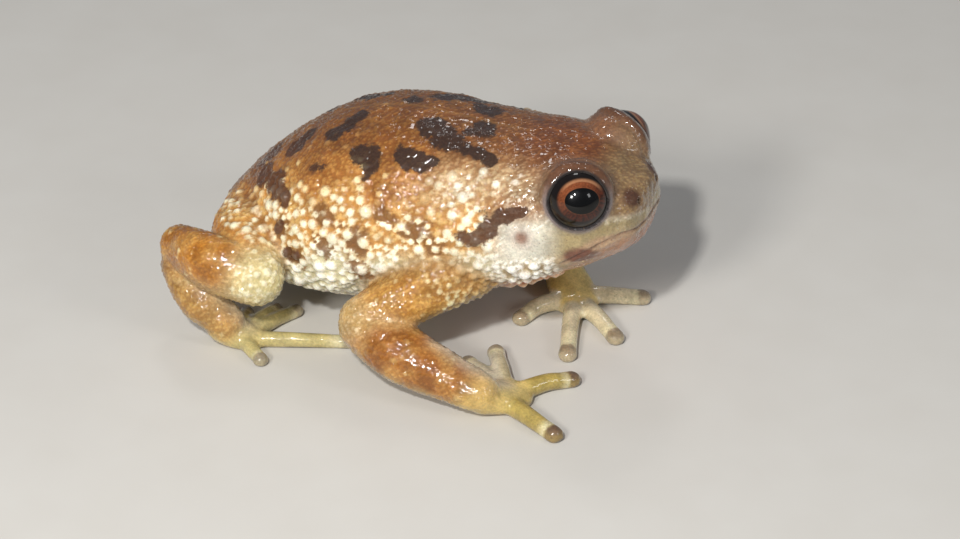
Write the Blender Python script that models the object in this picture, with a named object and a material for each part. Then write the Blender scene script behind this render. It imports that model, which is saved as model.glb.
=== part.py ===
"""A life-size Mazumbai warty frog, sitting with its chest raised and its hands turned in.

Metres, +Z up, nose towards +X, the frog's left towards +Y, all feet on the plane z = 0.
The trunk is one fused form, parted at the neck and the mouth. Each limb is a chain of
tapered lofts, parted at each joint by a plane that halves the bend.
"""

import math

import bmesh
import bpy
import numpy as np
from mathutils import Matrix, Vector
from mathutils.bvhtree import BVHTree

MM = 0.001
SNOUT_TO_VENT = 35.4 * MM
# Every landmark below is for a frog of 35.4 mm, so this is one millimetre of it.
UNIT = SNOUT_TO_VENT / 35.4
GAP = 0.3 * MM

# The landmarks are measured from the point on the floor under the eyes, and this shift
# brings them to the middle of the footprint.
EYES_TO_ORIGIN = Vector((14.2, 0.3, 0.0)) * UNIT

# The lid bump is a ball, and the eyeball in it sits a little nearer to the opening. The
# opening is a cone that starts this far along the eye's aim and widens outwards. The lid's
# middle is this far behind the point that the landmarks are measured from.
EYE_RADIUS = 2.32 * UNIT
EYE_HEIGHT = 16.0 * UNIT
EYE_HALF_SPAN = 4.15 * UNIT
EYE_BACK = 0.2 * UNIT
EYE_AIM = (0.38, 0.83, 0.41)
EYE_FORWARD = 0.3 * UNIT
LID_RADIUS = 2.9 * UNIT
OPENING_START = 1.0 * UNIT
OPENING_RADIUS = 1.82 * UNIT
OPENING_SLOPE = 0.9
LID_RIM = 0.14 * UNIT
LID_RIM_ANGLE = 0.97

# Rows of the trunk from vent to snout: place along the body, top, belly, half width,
# the height of the widest point as a share of the depth, and how round the back is
# across (1 is an ellipse, less is squarer).
TRUNK_ROWS = (
    (-31.2, 6.0, 6.0, 0.0, 0.50, 1.00),
    (-30.8, 7.4, 4.6, 2.0, 0.50, 1.00),
    (-29.7, 9.0, 3.5, 3.6, 0.50, 1.00),
    (-27.7, 11.3, 2.6, 5.4, 0.48, 1.00),
    (-24.4, 14.3, 2.0, 7.5, 0.47, 1.00),
    (-20.0, 17.1, 2.1, 8.8, 0.46, 1.00),
    (-15.0, 18.4, 3.0, 8.8, 0.45, 0.98),
    (-10.0, 18.4, 4.3, 7.9, 0.43, 0.92),
    (-6.0, 18.3, 5.9, 7.2, 0.41, 0.82),
    (-2.5, 18.1, 7.7, 6.8, 0.40, 0.74),
    (0.4, 17.5, 9.2, 6.0, 0.42, 0.70),
    (2.2, 16.7, 10.2, 4.9, 0.44, 0.74),
    (3.35, 16.2, 10.9, 3.7, 0.46, 0.80),
    (3.95, 15.5, 11.7, 2.4, 0.48, 0.90),
    (4.15, 13.8, 13.8, 0.0, 0.50, 1.00),
)

# Where the head meets the body, and the side view of the mouth from snout to corner.
NECK = -7.6
NECK_NORMAL = (1.0, 0.0, 0.12)
MOUTH_LINE = (
    (8.0, 13.15),
    (4.4, 13.25),
    (3.2, 13.50),
    (1.8, 12.90),
    (0.6, 12.10),
    (-0.5, 11.35),
)
JAW_REAR = ((-2.0, 9.2), (-3.0, 6.0), (-3.0, 2.0), (8.0, 2.0))
LIP_BULGE = 0.16 * UNIT
NOSTRIL = (3.85, 1.80, 15.25)
NOSTRIL_AIM = (0.75, 0.60, 0.30)
NOSTRIL_RADIUS = 0.30 * UNIT
NOSTRIL_RIM = 0.16 * UNIT

TRUNK_SIDES = 72
TRUNK_RINGS = 110
VOXEL = 0.3 * MM
TORSO_TRIANGLES = 1300
HEAD_TRIANGLES = 1500

RIGHT, LEFT = -1, 1

# Limbs: each row is a place on the centre line, then the half width and the half depth.
ARMS = {
    "upper_arm": {
        RIGHT: ((-8.4, -4.6, 8.6, 2.5, 2.7), (-11.5, -7.8, 7.0, 2.1, 2.3), (-15.0, -9.9, 4.8, 1.9, 2.0)),
        LEFT: ((-8.4, 4.6, 8.6, 2.5, 2.7), (-11.9, 8.2, 7.0, 2.1, 2.3), (-15.2, 10.6, 4.8, 1.9, 2.0)),
    },
    "forearm": {
        RIGHT: ((-15.0, -9.9, 4.4, 1.9, 2.0), (-11.2, -11.0, 3.3, 2.0, 2.1), (-5.0, -11.4, 1.9, 1.6, 1.5)),
        LEFT: ((-15.2, 10.6, 4.4, 1.9, 2.0), (-11.4, 10.0, 3.3, 2.0, 2.1), (-5.7, 7.4, 1.9, 1.6, 1.5)),
    },
    "palm": {
        RIGHT: ((-4.8, -11.3, 1.5, 1.6, 1.4), (-3.9, -10.0, 0.85, 1.9, 1.1), (-3.2, -8.9, 0.6, 1.8, 0.85)),
        LEFT: ((-5.5, 7.2, 1.5, 1.6, 1.4), (-4.1, 5.7, 0.85, 1.9, 1.1), (-3.3, 4.6, 0.6, 1.8, 0.85)),
    },
}
FINGERS = {
    RIGHT: (
        ((-4.2, -9.4, 0.60), (-6.2, -7.6, 0.72), (-8.0, -6.3, 0.42)),
        ((-3.8, -9.0, 0.60), (-5.3, -6.4, 0.75), (-6.6, -4.1, 0.42)),
        ((-3.2, -9.0, 0.60), (-1.5, -6.9, 0.75), (0.1, -5.3, 0.42)),
        ((-3.2, -10.2, 0.60), (-0.9, -11.5, 0.75), (1.5, -12.5, 0.42)),
    ),
    LEFT: (
        ((-4.2, 4.8, 0.60), (-5.8, 2.8, 0.72), (-6.6, 1.0, 0.42)),
        ((-3.4, 4.4, 0.60), (-2.5, 1.1, 0.75), (-1.4, -2.3, 0.42)),
        ((-3.0, 4.6, 0.60), (-0.9, 3.0, 0.75), (1.2, 1.3, 0.42)),
        ((-3.2, 5.8, 0.60), (-1.0, 6.4, 0.75), (1.2, 7.4, 0.42)),
    ),
}
# The right leg is folded high and the left one is tucked lower and further forward.
LEG = {
    "thigh": {
        RIGHT: ((-27.4, -2.6, 7.0, 2.8, 2.8), (-26.4, -6.6, 7.3, 2.7, 2.8), (-24.0, -9.9, 6.5, 2.1, 2.2)),
        LEFT: ((-27.0, 2.6, 6.4, 2.8, 2.8), (-25.6, 6.5, 6.2, 2.6, 2.6), (-23.2, 9.6, 5.6, 2.0, 2.1)),
    },
    "shank": {
        RIGHT: ((-24.2, -9.9, 6.3, 1.9, 2.1), (-27.6, -10.4, 7.3, 1.9, 2.3), (-31.0, -8.8, 6.9, 1.5, 1.8)),
        LEFT: ((-23.4, 9.6, 5.4, 1.8, 2.0), (-26.5, 9.8, 5.8, 1.7, 2.0), (-29.4, 7.6, 5.5, 1.4, 1.6)),
    },
    "ankle": {
        RIGHT: ((-31.0, -9.0, 5.4, 1.5, 1.5), (-29.3, -10.0, 3.2, 1.5, 1.6), (-26.9, -10.1, 1.5, 1.3, 1.2)),
        LEFT: ((-29.6, 7.7, 4.5, 1.4, 1.4), (-28.2, 8.7, 3.0, 1.3, 1.4), (-26.1, 9.3, 1.5, 1.2, 1.1)),
    },
    "sole": {
        RIGHT: ((-26.9, -10.0, 1.2, 1.4, 1.1), (-25.9, -9.8, 0.7, 1.5, 0.9), (-24.9, -9.6, 0.5, 1.3, 0.75)),
        LEFT: ((-26.1, 9.3, 1.2, 1.3, 1.0), (-25.1, 9.3, 0.7, 1.5, 0.9), (-24.1, 9.2, 0.5, 1.3, 0.75)),
    },
}
TOES = {
    RIGHT: (
        ((-26.0, -9.0, 0.52), (-26.5, -7.7, 0.58), (-26.8, -6.4, 0.38)),
        ((-25.5, -9.0, 0.52), (-25.3, -7.0, 0.60), (-24.9, -5.1, 0.38)),
        ((-25.0, -9.1, 0.52), (-24.2, -6.9, 0.62), (-23.3, -4.7, 0.38)),
        ((-24.7, -9.7, 0.52), (-21.2, -8.6, 0.65), (-17.5, -7.0, 0.38)),
        ((-25.1, -10.2, 0.52), (-24.1, -11.1, 0.60), (-22.9, -11.9, 0.38)),
    ),
    LEFT: (
        ((-25.3, 8.5, 0.52), (-25.4, 7.2, 0.58), (-25.2, 5.9, 0.38)),
        ((-24.8, 8.6, 0.52), (-24.2, 6.7, 0.60), (-23.4, 4.9, 0.38)),
        ((-24.2, 8.7, 0.52), (-22.6, 6.7, 0.62), (-20.8, 5.0, 0.38)),
        ((-23.9, 9.3, 0.52), (-20.6, 8.4, 0.65), (-17.2, 7.0, 0.38)),
        ((-24.3, 9.8, 0.52), (-23.3, 10.7, 0.60), (-22.1, 11.5, 0.38)),
    ),
}
FINGER_RADIUS = 0.60
FINGER_TIP_RADIUS = 0.70
TOE_RADIUS = 0.52
TOE_TIP_RADIUS = 0.62
LIMB_SIDES = 14
LIMB_RINGS = 8
DIGIT_SIDES = 9
DIGIT_RINGS = 6

# Warts: low domes sunk into the skin, fewer and larger than the real ones.
WART_SEED = 11
WART_SPACING = 1.80 * UNIT
BACK_SHARE = 0.36
WART_SINK = 0.22
WART_FLATTEN = 0.8
FLANK_WART = (0.46 * UNIT, 0.68 * UNIT)
BACK_WART = (0.36 * UNIT, 0.50 * UNIT)
LIMB_WART = (0.32 * UNIT, 0.44 * UNIT)
WART_CLEARANCE = 0.55 * MM

COLOURS = {
    "head": (0.20, 0.085, 0.035),
    "jaw": (0.55, 0.36, 0.28),
    "torso": (0.30, 0.14, 0.06),
    "eye": (0.10, 0.03, 0.012),
    "upper_arm": (0.42, 0.20, 0.07),
    "forearm": (0.42, 0.20, 0.07),
    "thigh": (0.42, 0.18, 0.06),
    "shank": (0.42, 0.18, 0.06),
    "ankle": (0.38, 0.24, 0.10),
    "palm": (0.44, 0.34, 0.16),
    "sole": (0.44, 0.34, 0.16),
    "finger": (0.46, 0.42, 0.24),
    "toe": (0.46, 0.42, 0.24),
}


def spot(x, y, z):
    """A landmark, in millimetres from the point under the eyes, as a place in the model."""
    return Vector((x, y, z)) * UNIT + EYES_TO_ORIGIN


def lid_centre(side):
    """Middle of the bump that holds an eye."""
    return Vector((-EYE_BACK, side * EYE_HALF_SPAN, EYE_HEIGHT)) + EYES_TO_ORIGIN


def sided(direction, side):
    """A direction given for the left side, turned to the side asked for, at length 1."""
    x, y, z = direction
    return Vector((x, side * y, z)).normalized()


def smooth_path(rows, count):
    """Catmull-Rom curve through rows of numbers, read at count even steps."""
    rows = np.asarray(rows, float)
    first = 2 * rows[0] - rows[1]
    last = 2 * rows[-1] - rows[-2]
    padded = np.vstack([first, rows, last])
    where = np.linspace(0, len(rows) - 1, count)
    left = np.minimum(where.astype(int), len(rows) - 2)
    t = (where - left)[:, None]
    a, b, c, d = (padded[left + k] for k in range(4))
    return 0.5 * (
        2 * b + (c - a) * t + (2 * a - 5 * b + 4 * c - d) * t**2 + (3 * b - a - 3 * c + d) * t**3
    )


def new_object(name, mesh):
    """Links a mesh to the scene as an object of that name."""
    thing = bpy.data.objects.new(name, mesh)
    bpy.context.scene.collection.objects.link(thing)
    return thing


def mesh_from(work, name):
    """Ends a bmesh as a new mesh."""
    mesh = bpy.data.meshes.new(name)
    work.to_mesh(mesh)
    work.free()
    return mesh


def facing_out(mesh):
    """Turns every face of a closed mesh outwards."""
    work = bmesh.new()
    work.from_mesh(mesh)
    bmesh.ops.recalc_face_normals(work, faces=work.faces)
    work.to_mesh(mesh)
    work.free()


def closed_loft(name, rings, start, stop):
    """A closed mesh from an array of rings and the two points that close its ends."""
    count, sides, _ = rings.shape
    points = np.vstack([rings.reshape(-1, 3), start, stop])
    index = np.arange(count * sides).reshape(count, sides)
    here, there = index[:-1], index[1:]
    quads = np.stack([here, np.roll(here, -1, 1), np.roll(there, -1, 1), there], axis=-1)
    first, last = count * sides, count * sides + 1
    low = [(first, b, a) for a, b in zip(index[0], np.roll(index[0], -1))]
    high = [(last, a, b) for a, b in zip(index[-1], np.roll(index[-1], -1))]
    faces = [tuple(map(int, face)) for face in (*quads.reshape(-1, 4), *low, *high)]
    mesh = bpy.data.meshes.new(name)
    mesh.from_pydata(points.tolist(), [], faces)
    facing_out(mesh)
    return new_object(name, mesh)


def apply_modifier(thing, kind, **settings):
    """Adds a modifier with its settings and bakes it into the object's mesh."""
    modifier = thing.modifiers.new(kind.title(), kind)
    for key, value in settings.items():
        setattr(modifier, key, value)
    graph = bpy.context.evaluated_depsgraph_get()
    baked = bpy.data.meshes.new_from_object(thing.evaluated_get(graph))
    thing.modifiers.clear()
    old = thing.data
    thing.data = baked
    bpy.data.meshes.remove(old)


def boolean(thing, other, operation):
    """Cuts, joins or crosses an object with another one."""
    apply_modifier(thing, "BOOLEAN", object=other, operation=operation, solver="EXACT")


def discard(*things):
    """Removes helpers from the scene."""
    for thing in things:
        bpy.data.objects.remove(thing)


def reduce_to(thing, triangles):
    """Merges the least needed edges until about that many triangles are left."""
    thing.data.calc_loop_triangles()
    ratio = triangles / len(thing.data.loop_triangles)
    apply_modifier(thing, "DECIMATE", ratio=min(1.0, ratio))


def largest_body(thing):
    """Keeps only the body with the most corners and drops the crumbs of a cut."""
    work = bmesh.new()
    work.from_mesh(thing.data)
    seen, groups = set(), []
    for vertex in work.verts:
        if vertex in seen:
            continue
        group, queue = [], [vertex]
        seen.add(vertex)
        while queue:
            at = queue.pop()
            group.append(at)
            for edge in at.link_edges:
                other = edge.other_vert(at)
                if other not in seen:
                    seen.add(other)
                    queue.append(other)
        groups.append(group)
    groups.sort(key=len)
    for group in groups[:-1]:
        bmesh.ops.delete(work, geom=group, context="VERTS")
    work.to_mesh(thing.data)
    work.free()


def keep_side(thing, point, normal):
    """Cuts an object flat through a point and keeps the side that the normal points to."""
    work = bmesh.new()
    work.from_mesh(thing.data)
    everything = [*work.verts, *work.edges, *work.faces]
    cut = bmesh.ops.bisect_plane(
        work, geom=everything, plane_co=point, plane_no=normal, clear_inner=True, dist=1e-7
    )
    rim = [edge for edge in cut["geom_cut"] if isinstance(edge, bmesh.types.BMEdge)]
    bmesh.ops.holes_fill(work, edges=rim, sides=0)
    bmesh.ops.recalc_face_normals(work, faces=work.faces)
    work.to_mesh(thing.data)
    work.free()


def ball(name, centre, radius, segments=24, rings=16):
    """A closed sphere."""
    work = bmesh.new()
    bmesh.ops.create_uvsphere(work, u_segments=segments, v_segments=rings, radius=radius)
    bmesh.ops.translate(work, vec=centre, verts=work.verts)
    return new_object(name, mesh_from(work, name))


def aimed_cone(name, start, direction, radius, slope, length, sides=28):
    """A cone that starts at a point, runs along a direction and widens by its slope."""
    work = bmesh.new()
    far = radius + slope * length
    bmesh.ops.create_cone(
        work, cap_ends=True, segments=sides, radius1=radius, radius2=far, depth=length
    )
    turn = direction.to_track_quat("Z", "Y").to_matrix().to_4x4()
    shift = Matrix.Translation(start + direction * length / 2)
    bmesh.ops.transform(work, matrix=shift @ turn, verts=work.verts)
    return new_object(name, mesh_from(work, name))


def side_prism(name, outline, shift=0.0):
    """A prism right across the body from a side view, raised by shift."""
    reach = 12.0 * UNIT
    points = [
        spot(x, 0, z) + Vector((0, side * reach, shift)) for side in (-1, 1) for x, z in outline
    ]
    count = len(outline)
    faces = [tuple(range(count)), tuple(range(2 * count - 1, count - 1, -1))]
    faces += [(k, (k + 1) % count, count + (k + 1) % count, count + k) for k in range(count)]
    mesh = bpy.data.meshes.new(name)
    mesh.from_pydata(points, [], faces)
    facing_out(mesh)
    return new_object(name, mesh)


def trunk_form():
    """Head and body as one loft of rounded sections along the spine."""
    rows = smooth_path(TRUNK_ROWS, TRUNK_RINGS)[1:-1]
    x, top, belly, half, widest, round_back = (rows[:, k, None] for k in range(6))
    angle = np.linspace(0, 2 * math.pi, TRUNK_SIDES, endpoint=False)[None, :]
    above = np.sin(angle) > 0
    power = np.where(above, round_back, 0.95)
    middle = belly + (top - belly) * widest
    rise = np.where(above, top - middle, middle - belly)
    y = half * np.sign(np.cos(angle)) * np.abs(np.cos(angle)) ** power
    z = middle + rise * np.sign(np.sin(angle)) * np.abs(np.sin(angle)) ** power
    rings = np.stack([np.broadcast_to(x, y.shape), y, z], axis=-1) * UNIT
    rings = rings + np.array(EYES_TO_ORIGIN)
    vent, snout = (np.array(spot(row[0], 0, row[1])) for row in (TRUNK_ROWS[0], TRUNK_ROWS[-1]))
    return closed_loft("trunk", rings, vent, snout)


def fused(name, pieces):
    """One smooth skin round several overlapping closed pieces."""
    work = bmesh.new()
    for piece in pieces:
        work.from_mesh(piece.data)
    discard(*pieces)
    whole = new_object(name, mesh_from(work, name))
    apply_modifier(whole, "REMESH", mode="VOXEL", voxel_size=VOXEL, adaptivity=0.0)
    apply_modifier(whole, "SMOOTH", factor=0.5, iterations=5)
    return whole


def points_of(mesh):
    """Corner places and outward normals as arrays."""
    places = np.empty(len(mesh.vertices) * 3)
    normals = np.empty(len(mesh.vertices) * 3)
    mesh.vertices.foreach_get("co", places)
    mesh.vertices.foreach_get("normal", normals)
    return places.reshape(-1, 3), normals.reshape(-1, 3)


def distance_to_line(points, line):
    """How far each 2-D point lies from a line of straight parts."""
    best = np.full(len(points), np.inf)
    for a, b in zip(line[:-1], line[1:]):
        a, b = np.array(a), np.array(b)
        along = np.clip((points - a) @ (b - a) / ((b - a) @ (b - a)), 0, 1)
        best = np.minimum(best, np.linalg.norm(points - a - along[:, None] * (b - a), axis=1))
    return best


def sculpt_face(whole):
    """Raises the lid rims, the lips and the nostril rims on the fused trunk."""
    places, normals = points_of(whole.data)
    lift = np.zeros(len(places))
    for side in (RIGHT, LEFT):
        offset = places - np.array(lid_centre(side))
        distance = np.linalg.norm(offset, axis=1)
        angle = np.arccos(np.clip(offset @ np.array(sided(EYE_AIM, side)) / distance, -1, 1))
        near = distance < 1.25 * LID_RADIUS
        lift += LID_RIM * np.exp(-(((angle - LID_RIM_ANGLE) / 0.16) ** 2)) * near
        x, y, z = NOSTRIL
        away = np.linalg.norm(places - np.array(spot(x, side * y, z)), axis=1)
        lift += NOSTRIL_RIM * np.exp(-((away / (0.75 * UNIT)) ** 2))
    side_view = (places - np.array(EYES_TO_ORIGIN))[:, [0, 2]] / UNIT
    from_mouth = distance_to_line(side_view, MOUTH_LINE)
    lift += LIP_BULGE * np.exp(-((from_mouth / 0.5) ** 2))
    places += normals * lift[:, None]
    whole.data.vertices.foreach_set("co", places.ravel())
    whole.data.update()


def face_nodes(head):
    """Parts the jaw from the head and opens the eye sockets and the nostrils."""
    outline = MOUTH_LINE + JAW_REAR
    lower = side_prism("lower", outline, -GAP / 2)
    jaw = new_object("jaw", head.data.copy())
    boolean(jaw, lower, "INTERSECT")
    upper_outline = [(x - 0.3, z) if x < 0 else (x, z) for x, z in outline]
    upper = side_prism("upper", upper_outline, GAP / 2)
    boolean(head, upper, "DIFFERENCE")
    discard(lower, upper)
    for side in (RIGHT, LEFT):
        aim = sided(EYE_AIM, side)
        centre = lid_centre(side) + aim * EYE_FORWARD
        socket = ball("socket", centre, EYE_RADIUS + GAP, 24, 14)
        start = lid_centre(side) + aim * OPENING_START
        opening = aimed_cone("opening", start, aim, OPENING_RADIUS, OPENING_SLOPE, 3 * UNIT)
        x, y, z = NOSTRIL
        nose = sided(NOSTRIL_AIM, side)
        start = spot(x, side * y, z) - nose * 0.35 * UNIT
        pit = aimed_cone("pit", start, nose, NOSTRIL_RADIUS, 0.1, UNIT, 10)
        for cutter in (socket, opening, pit):
            boolean(head, cutter, "DIFFERENCE")
        discard(socket, opening, pit)
        word = "right" if side == RIGHT else "left"
        ball(f"eye_{word}", centre, EYE_RADIUS, 20, 10)
    largest_body(head)
    largest_body(jaw)


def rounded_loft(name, rows, rings, sides, grow=0.0):
    """A limb piece: oval sections along a curve, with a round end at each end.

    grow makes every radius larger by that much, for a cutter that leaves a gap.
    """
    path = smooth_path(rows, rings)
    centre = path[:, :3] * UNIT + np.array(EYES_TO_ORIGIN)
    wide, deep = path[:, 3] * UNIT + grow, path[:, 4] * UNIT + grow
    along = np.gradient(centre, axis=0)
    along /= np.linalg.norm(along, axis=1, keepdims=True)
    across = np.cross(along, (0.0, 0.0, 1.0))
    across /= np.linalg.norm(across, axis=1, keepdims=True)
    upward = np.cross(across, along)
    cap = np.radians((62, 32))
    low = centre[0] - np.sin(cap)[:, None] * along[0] * (wide[0] + deep[0]) / 2
    high = centre[-1] + np.sin(cap)[::-1, None] * along[-1] * (wide[-1] + deep[-1]) / 2
    spine = np.vstack([low, centre, high])
    shrink = np.concatenate([np.cos(cap), np.ones(rings), np.cos(cap)[::-1]])
    index = np.concatenate([[0] * len(cap), np.arange(rings), [rings - 1] * len(cap)])
    angle = np.linspace(0, 2 * math.pi, sides, endpoint=False)
    sideways = (wide[index] * shrink)[:, None] * np.cos(angle)
    upwards = (deep[index] * shrink)[:, None] * np.sin(angle)
    points = (
        spine[:, None]
        + sideways[..., None] * across[index][:, None]
        + upwards[..., None] * upward[index][:, None]
    )
    start = centre[0] - along[0] * (wide[0] + deep[0]) / 2
    stop = centre[-1] + along[-1] * (wide[-1] + deep[-1]) / 2
    for part in (points, start, stop):
        part[..., 2] = np.maximum(part[..., 2], -grow)
    return closed_loft(name, points, start, stop)


def digit_rows(places, radius, tip):
    """Rows for a finger or toe: an even shaft with a slightly swollen blunt tip."""
    first, middle, last = places
    return (
        (*first, radius * 1.1, radius * 1.1),
        (*middle, radius, radius),
        (*last, tip, tip * 0.92),
    )


def joint_between(before, after):
    """Point and normal of the plane that halves the bend between two limb pieces."""
    ends = [np.array(row[:3]) for row in (before[-2], before[-1], after[0], after[1])]
    going_in = (ends[1] - ends[0]) / np.linalg.norm(ends[1] - ends[0])
    going_out = (ends[3] - ends[2]) / np.linalg.norm(ends[3] - ends[2])
    normal = Vector(going_in + going_out).normalized()
    middle = (ends[1] + ends[2]) / 2
    return spot(*middle), normal


def limb_chain(rows_by_name, word, trunk_grown):
    """The pieces of one arm or leg, cut clear of the trunk and parted at each joint."""
    names = list(rows_by_name)
    for k, name in enumerate(names):
        rows = rows_by_name[name]
        piece = rounded_loft(f"{name}_{word}", rows, LIMB_RINGS, LIMB_SIDES)
        if k > 0:
            point, normal = joint_between(rows_by_name[names[k - 1]], rows)
            keep_side(piece, point + normal * GAP / 2, normal)
        if k + 1 < len(names):
            point, normal = joint_between(rows, rows_by_name[names[k + 1]])
            keep_side(piece, point - normal * GAP / 2, -normal)
        boolean(piece, trunk_grown, "DIFFERENCE")
        largest_body(piece)


def digit_set(digits, label, word, base_rows, radius, tip):
    """Fingers or toes, cut clear of the palm or sole and of each other."""
    base = rounded_loft("grown", base_rows, LIMB_RINGS, LIMB_SIDES, GAP)
    before = None
    for number, places in enumerate(digits, 1):
        rows = digit_rows(places, radius, tip)
        piece = rounded_loft(f"{label}_{number}_{word}", rows, DIGIT_RINGS, DIGIT_SIDES)
        boolean(piece, base, "DIFFERENCE")
        if before:
            boolean(piece, before, "DIFFERENCE")
            discard(before)
        largest_body(piece)
        before = rounded_loft("grown", rows, DIGIT_RINGS, DIGIT_SIDES, GAP)
    discard(base, before)


def limbs(trunk_grown):
    """Both arms with their hands and both legs with their feet."""
    for side, word in ((RIGHT, "right"), (LEFT, "left")):
        arm = {name: rows[side] for name, rows in ARMS.items()}
        leg = {name: rows[side] for name, rows in LEG.items()}
        limb_chain(arm, word, trunk_grown)
        limb_chain(leg, word, trunk_grown)
        digit_set(FINGERS[side], "finger", word, arm["palm"], FINGER_RADIUS, FINGER_TIP_RADIUS)
        digit_set(TOES[side], "toe", word, leg["sole"], TOE_RADIUS, TOE_TIP_RADIUS)


def surface_of(thing):
    """A search tree over an object's faces."""
    mesh = thing.data
    corners = [vertex.co.copy() for vertex in mesh.vertices]
    return BVHTree.FromPolygons(corners, [tuple(face.vertices) for face in mesh.polygons])


def wart_places(thing, keep_clear, zone, spacing, seed):
    """Seeded places on an object, spread evenly, as (place, normal, radius).

    zone gives the smallest and largest radius for a place and its normal, or None.
    """
    chance = np.random.default_rng(seed)
    mesh = thing.data
    mesh.calc_loop_triangles()
    corners, _ = points_of(mesh)
    index = np.array([triangle.vertices[:] for triangle in mesh.loop_triangles])
    a, b, c = (corners[index[:, k]] for k in range(3))
    normal = np.cross(b - a, c - a)
    area = np.linalg.norm(normal, axis=1)
    normal /= np.maximum(area, 1e-15)[:, None]
    pick = chance.choice(len(index), size=9000, p=area / area.sum())
    u, v = chance.random((2, len(pick), 1))
    turn = u + v > 1
    u, v = np.where(turn, 1 - u, u), np.where(turn, 1 - v, v)
    places = a[pick] + u * (b[pick] - a[pick]) + v * (c[pick] - a[pick])
    kept, found = np.empty((0, 3)), []
    for place, way in zip(places, normal[pick]):
        sizes = zone(place, way)
        if sizes is None:
            continue
        apart = spacing * (1.0 if sizes is FLANK_WART else 1 / math.sqrt(BACK_SHARE))
        if len(kept) and np.linalg.norm(kept - place, axis=1).min() < apart:
            continue
        radius = chance.uniform(*sizes)
        if any(tree.find_nearest(place)[3] < radius + WART_CLEARANCE for tree in keep_clear):
            continue
        kept = np.vstack([kept, place])
        found.append((Vector(place), Vector(way), radius))
    return found


def raise_warts(thing, found, seed):
    """Joins one low dome to an object at each place, in a single union."""
    chance = np.random.default_rng(seed)
    work = bmesh.new()
    for place, way, radius in found:
        made = bmesh.ops.create_uvsphere(work, u_segments=6, v_segments=4, radius=radius)["verts"]
        squash = Matrix.Diagonal((1, chance.uniform(0.85, 1.0), WART_FLATTEN, 1))
        spin = Matrix.Rotation(chance.uniform(0, 2 * math.pi), 4, "Z")
        turn = way.to_track_quat("Z", "Y").to_matrix().to_4x4()
        shift = Matrix.Translation(place - way * radius * WART_SINK)
        bmesh.ops.transform(work, matrix=shift @ turn @ squash @ spin, verts=made)
    domes = new_object("domes", mesh_from(work, "domes"))
    boolean(thing, domes, "UNION")
    discard(domes)
    largest_body(thing)


def trunk_zone(place, way):
    """Large warts on the flanks, smaller ones on the back, none below or at the neck."""
    x = (place[0] - EYES_TO_ORIGIN.x) / UNIT
    if abs(x - NECK) < 1.1 or way[2] < -0.62:
        return None
    return FLANK_WART if way[2] < 0.45 else BACK_WART


def head_zone(place, way):
    """Warts on the sides of the head behind the eyes."""
    x = (place[0] - EYES_TO_ORIGIN.x) / UNIT
    if x > -3.4 or abs(x - NECK) < 1.1 or way[2] < -0.62:
        return None
    return BACK_WART


def limb_zone(place, way):
    """Small warts on the outer side of a limb."""
    outward = math.copysign(1, place[1]) * way[1]
    return LIMB_WART if outward > 0.1 and way[2] > -0.55 else None


def all_warts():
    """Warts on the trunk, on the head behind the eyes and on the outer limbs."""
    nodes = list(bpy.data.objects)
    trees = {thing: surface_of(thing) for thing in nodes}
    for number, thing in enumerate(nodes):
        kind = thing.name.rsplit("_", 1)[0]
        if thing.name == "torso":
            zone, spacing = trunk_zone, WART_SPACING
        elif thing.name == "head":
            zone, spacing = head_zone, WART_SPACING
        elif kind in ("upper_arm", "forearm", "thigh", "shank"):
            zone, spacing = limb_zone, WART_SPACING * 0.9
        else:
            continue
        clear = [tree for other, tree in trees.items() if other is not thing]
        found = wart_places(thing, clear, zone, spacing, WART_SEED + number)
        raise_warts(thing, found, WART_SEED + 100 + number)


def finish(thing):
    """Gives a node its own material and smooth shading."""
    kind = next(key for key in COLOURS if thing.name.startswith(key))
    material = bpy.data.materials.new(thing.name)
    material.use_nodes = True
    shader = material.node_tree.nodes["Principled BSDF"]
    shader.inputs["Base Color"].default_value = (*COLOURS[kind], 1)
    shader.inputs["Roughness"].default_value = 0.1 if kind == "eye" else 0.35
    thing.data.materials.clear()
    thing.data.materials.append(material)
    thing.data.polygons.foreach_set("use_smooth", [True] * len(thing.data.polygons))


def main():
    for thing in list(bpy.data.objects):
        bpy.data.objects.remove(thing)
    lids = [ball("lid", lid_centre(side), LID_RADIUS, 32, 20) for side in (RIGHT, LEFT)]
    whole = fused("torso", [trunk_form(), *lids])
    sculpt_face(whole)

    grown = new_object("grown", whole.data.copy())
    reduce_to(grown, 4000)
    apply_modifier(grown, "DISPLACE", strength=GAP, mid_level=0.0)
    limbs(grown)
    discard(grown)

    neck, forward = spot(NECK, 0, 12), Vector(NECK_NORMAL).normalized()
    head = new_object("head", whole.data.copy())
    keep_side(head, neck + forward * GAP / 2, forward)
    keep_side(whole, neck - forward * GAP / 2, -forward)
    reduce_to(head, HEAD_TRIANGLES)
    reduce_to(whole, TORSO_TRIANGLES)
    face_nodes(head)
    all_warts()
    for thing in bpy.data.objects:
        finish(thing)


main()
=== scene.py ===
# %% [markdown]
# # A Mazumbai warty frog at rest
# The real animal is a stout little forest frog, about 35 mm long, with a back of brown
# granules, flanks covered in cream warts and a dark bronze eye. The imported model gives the
# size and the place of every part. This lesson grows one moist skin over all of those
# solids, sets two detailed eyes into it, and lights it like a studio photograph.

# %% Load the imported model
import math

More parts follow.
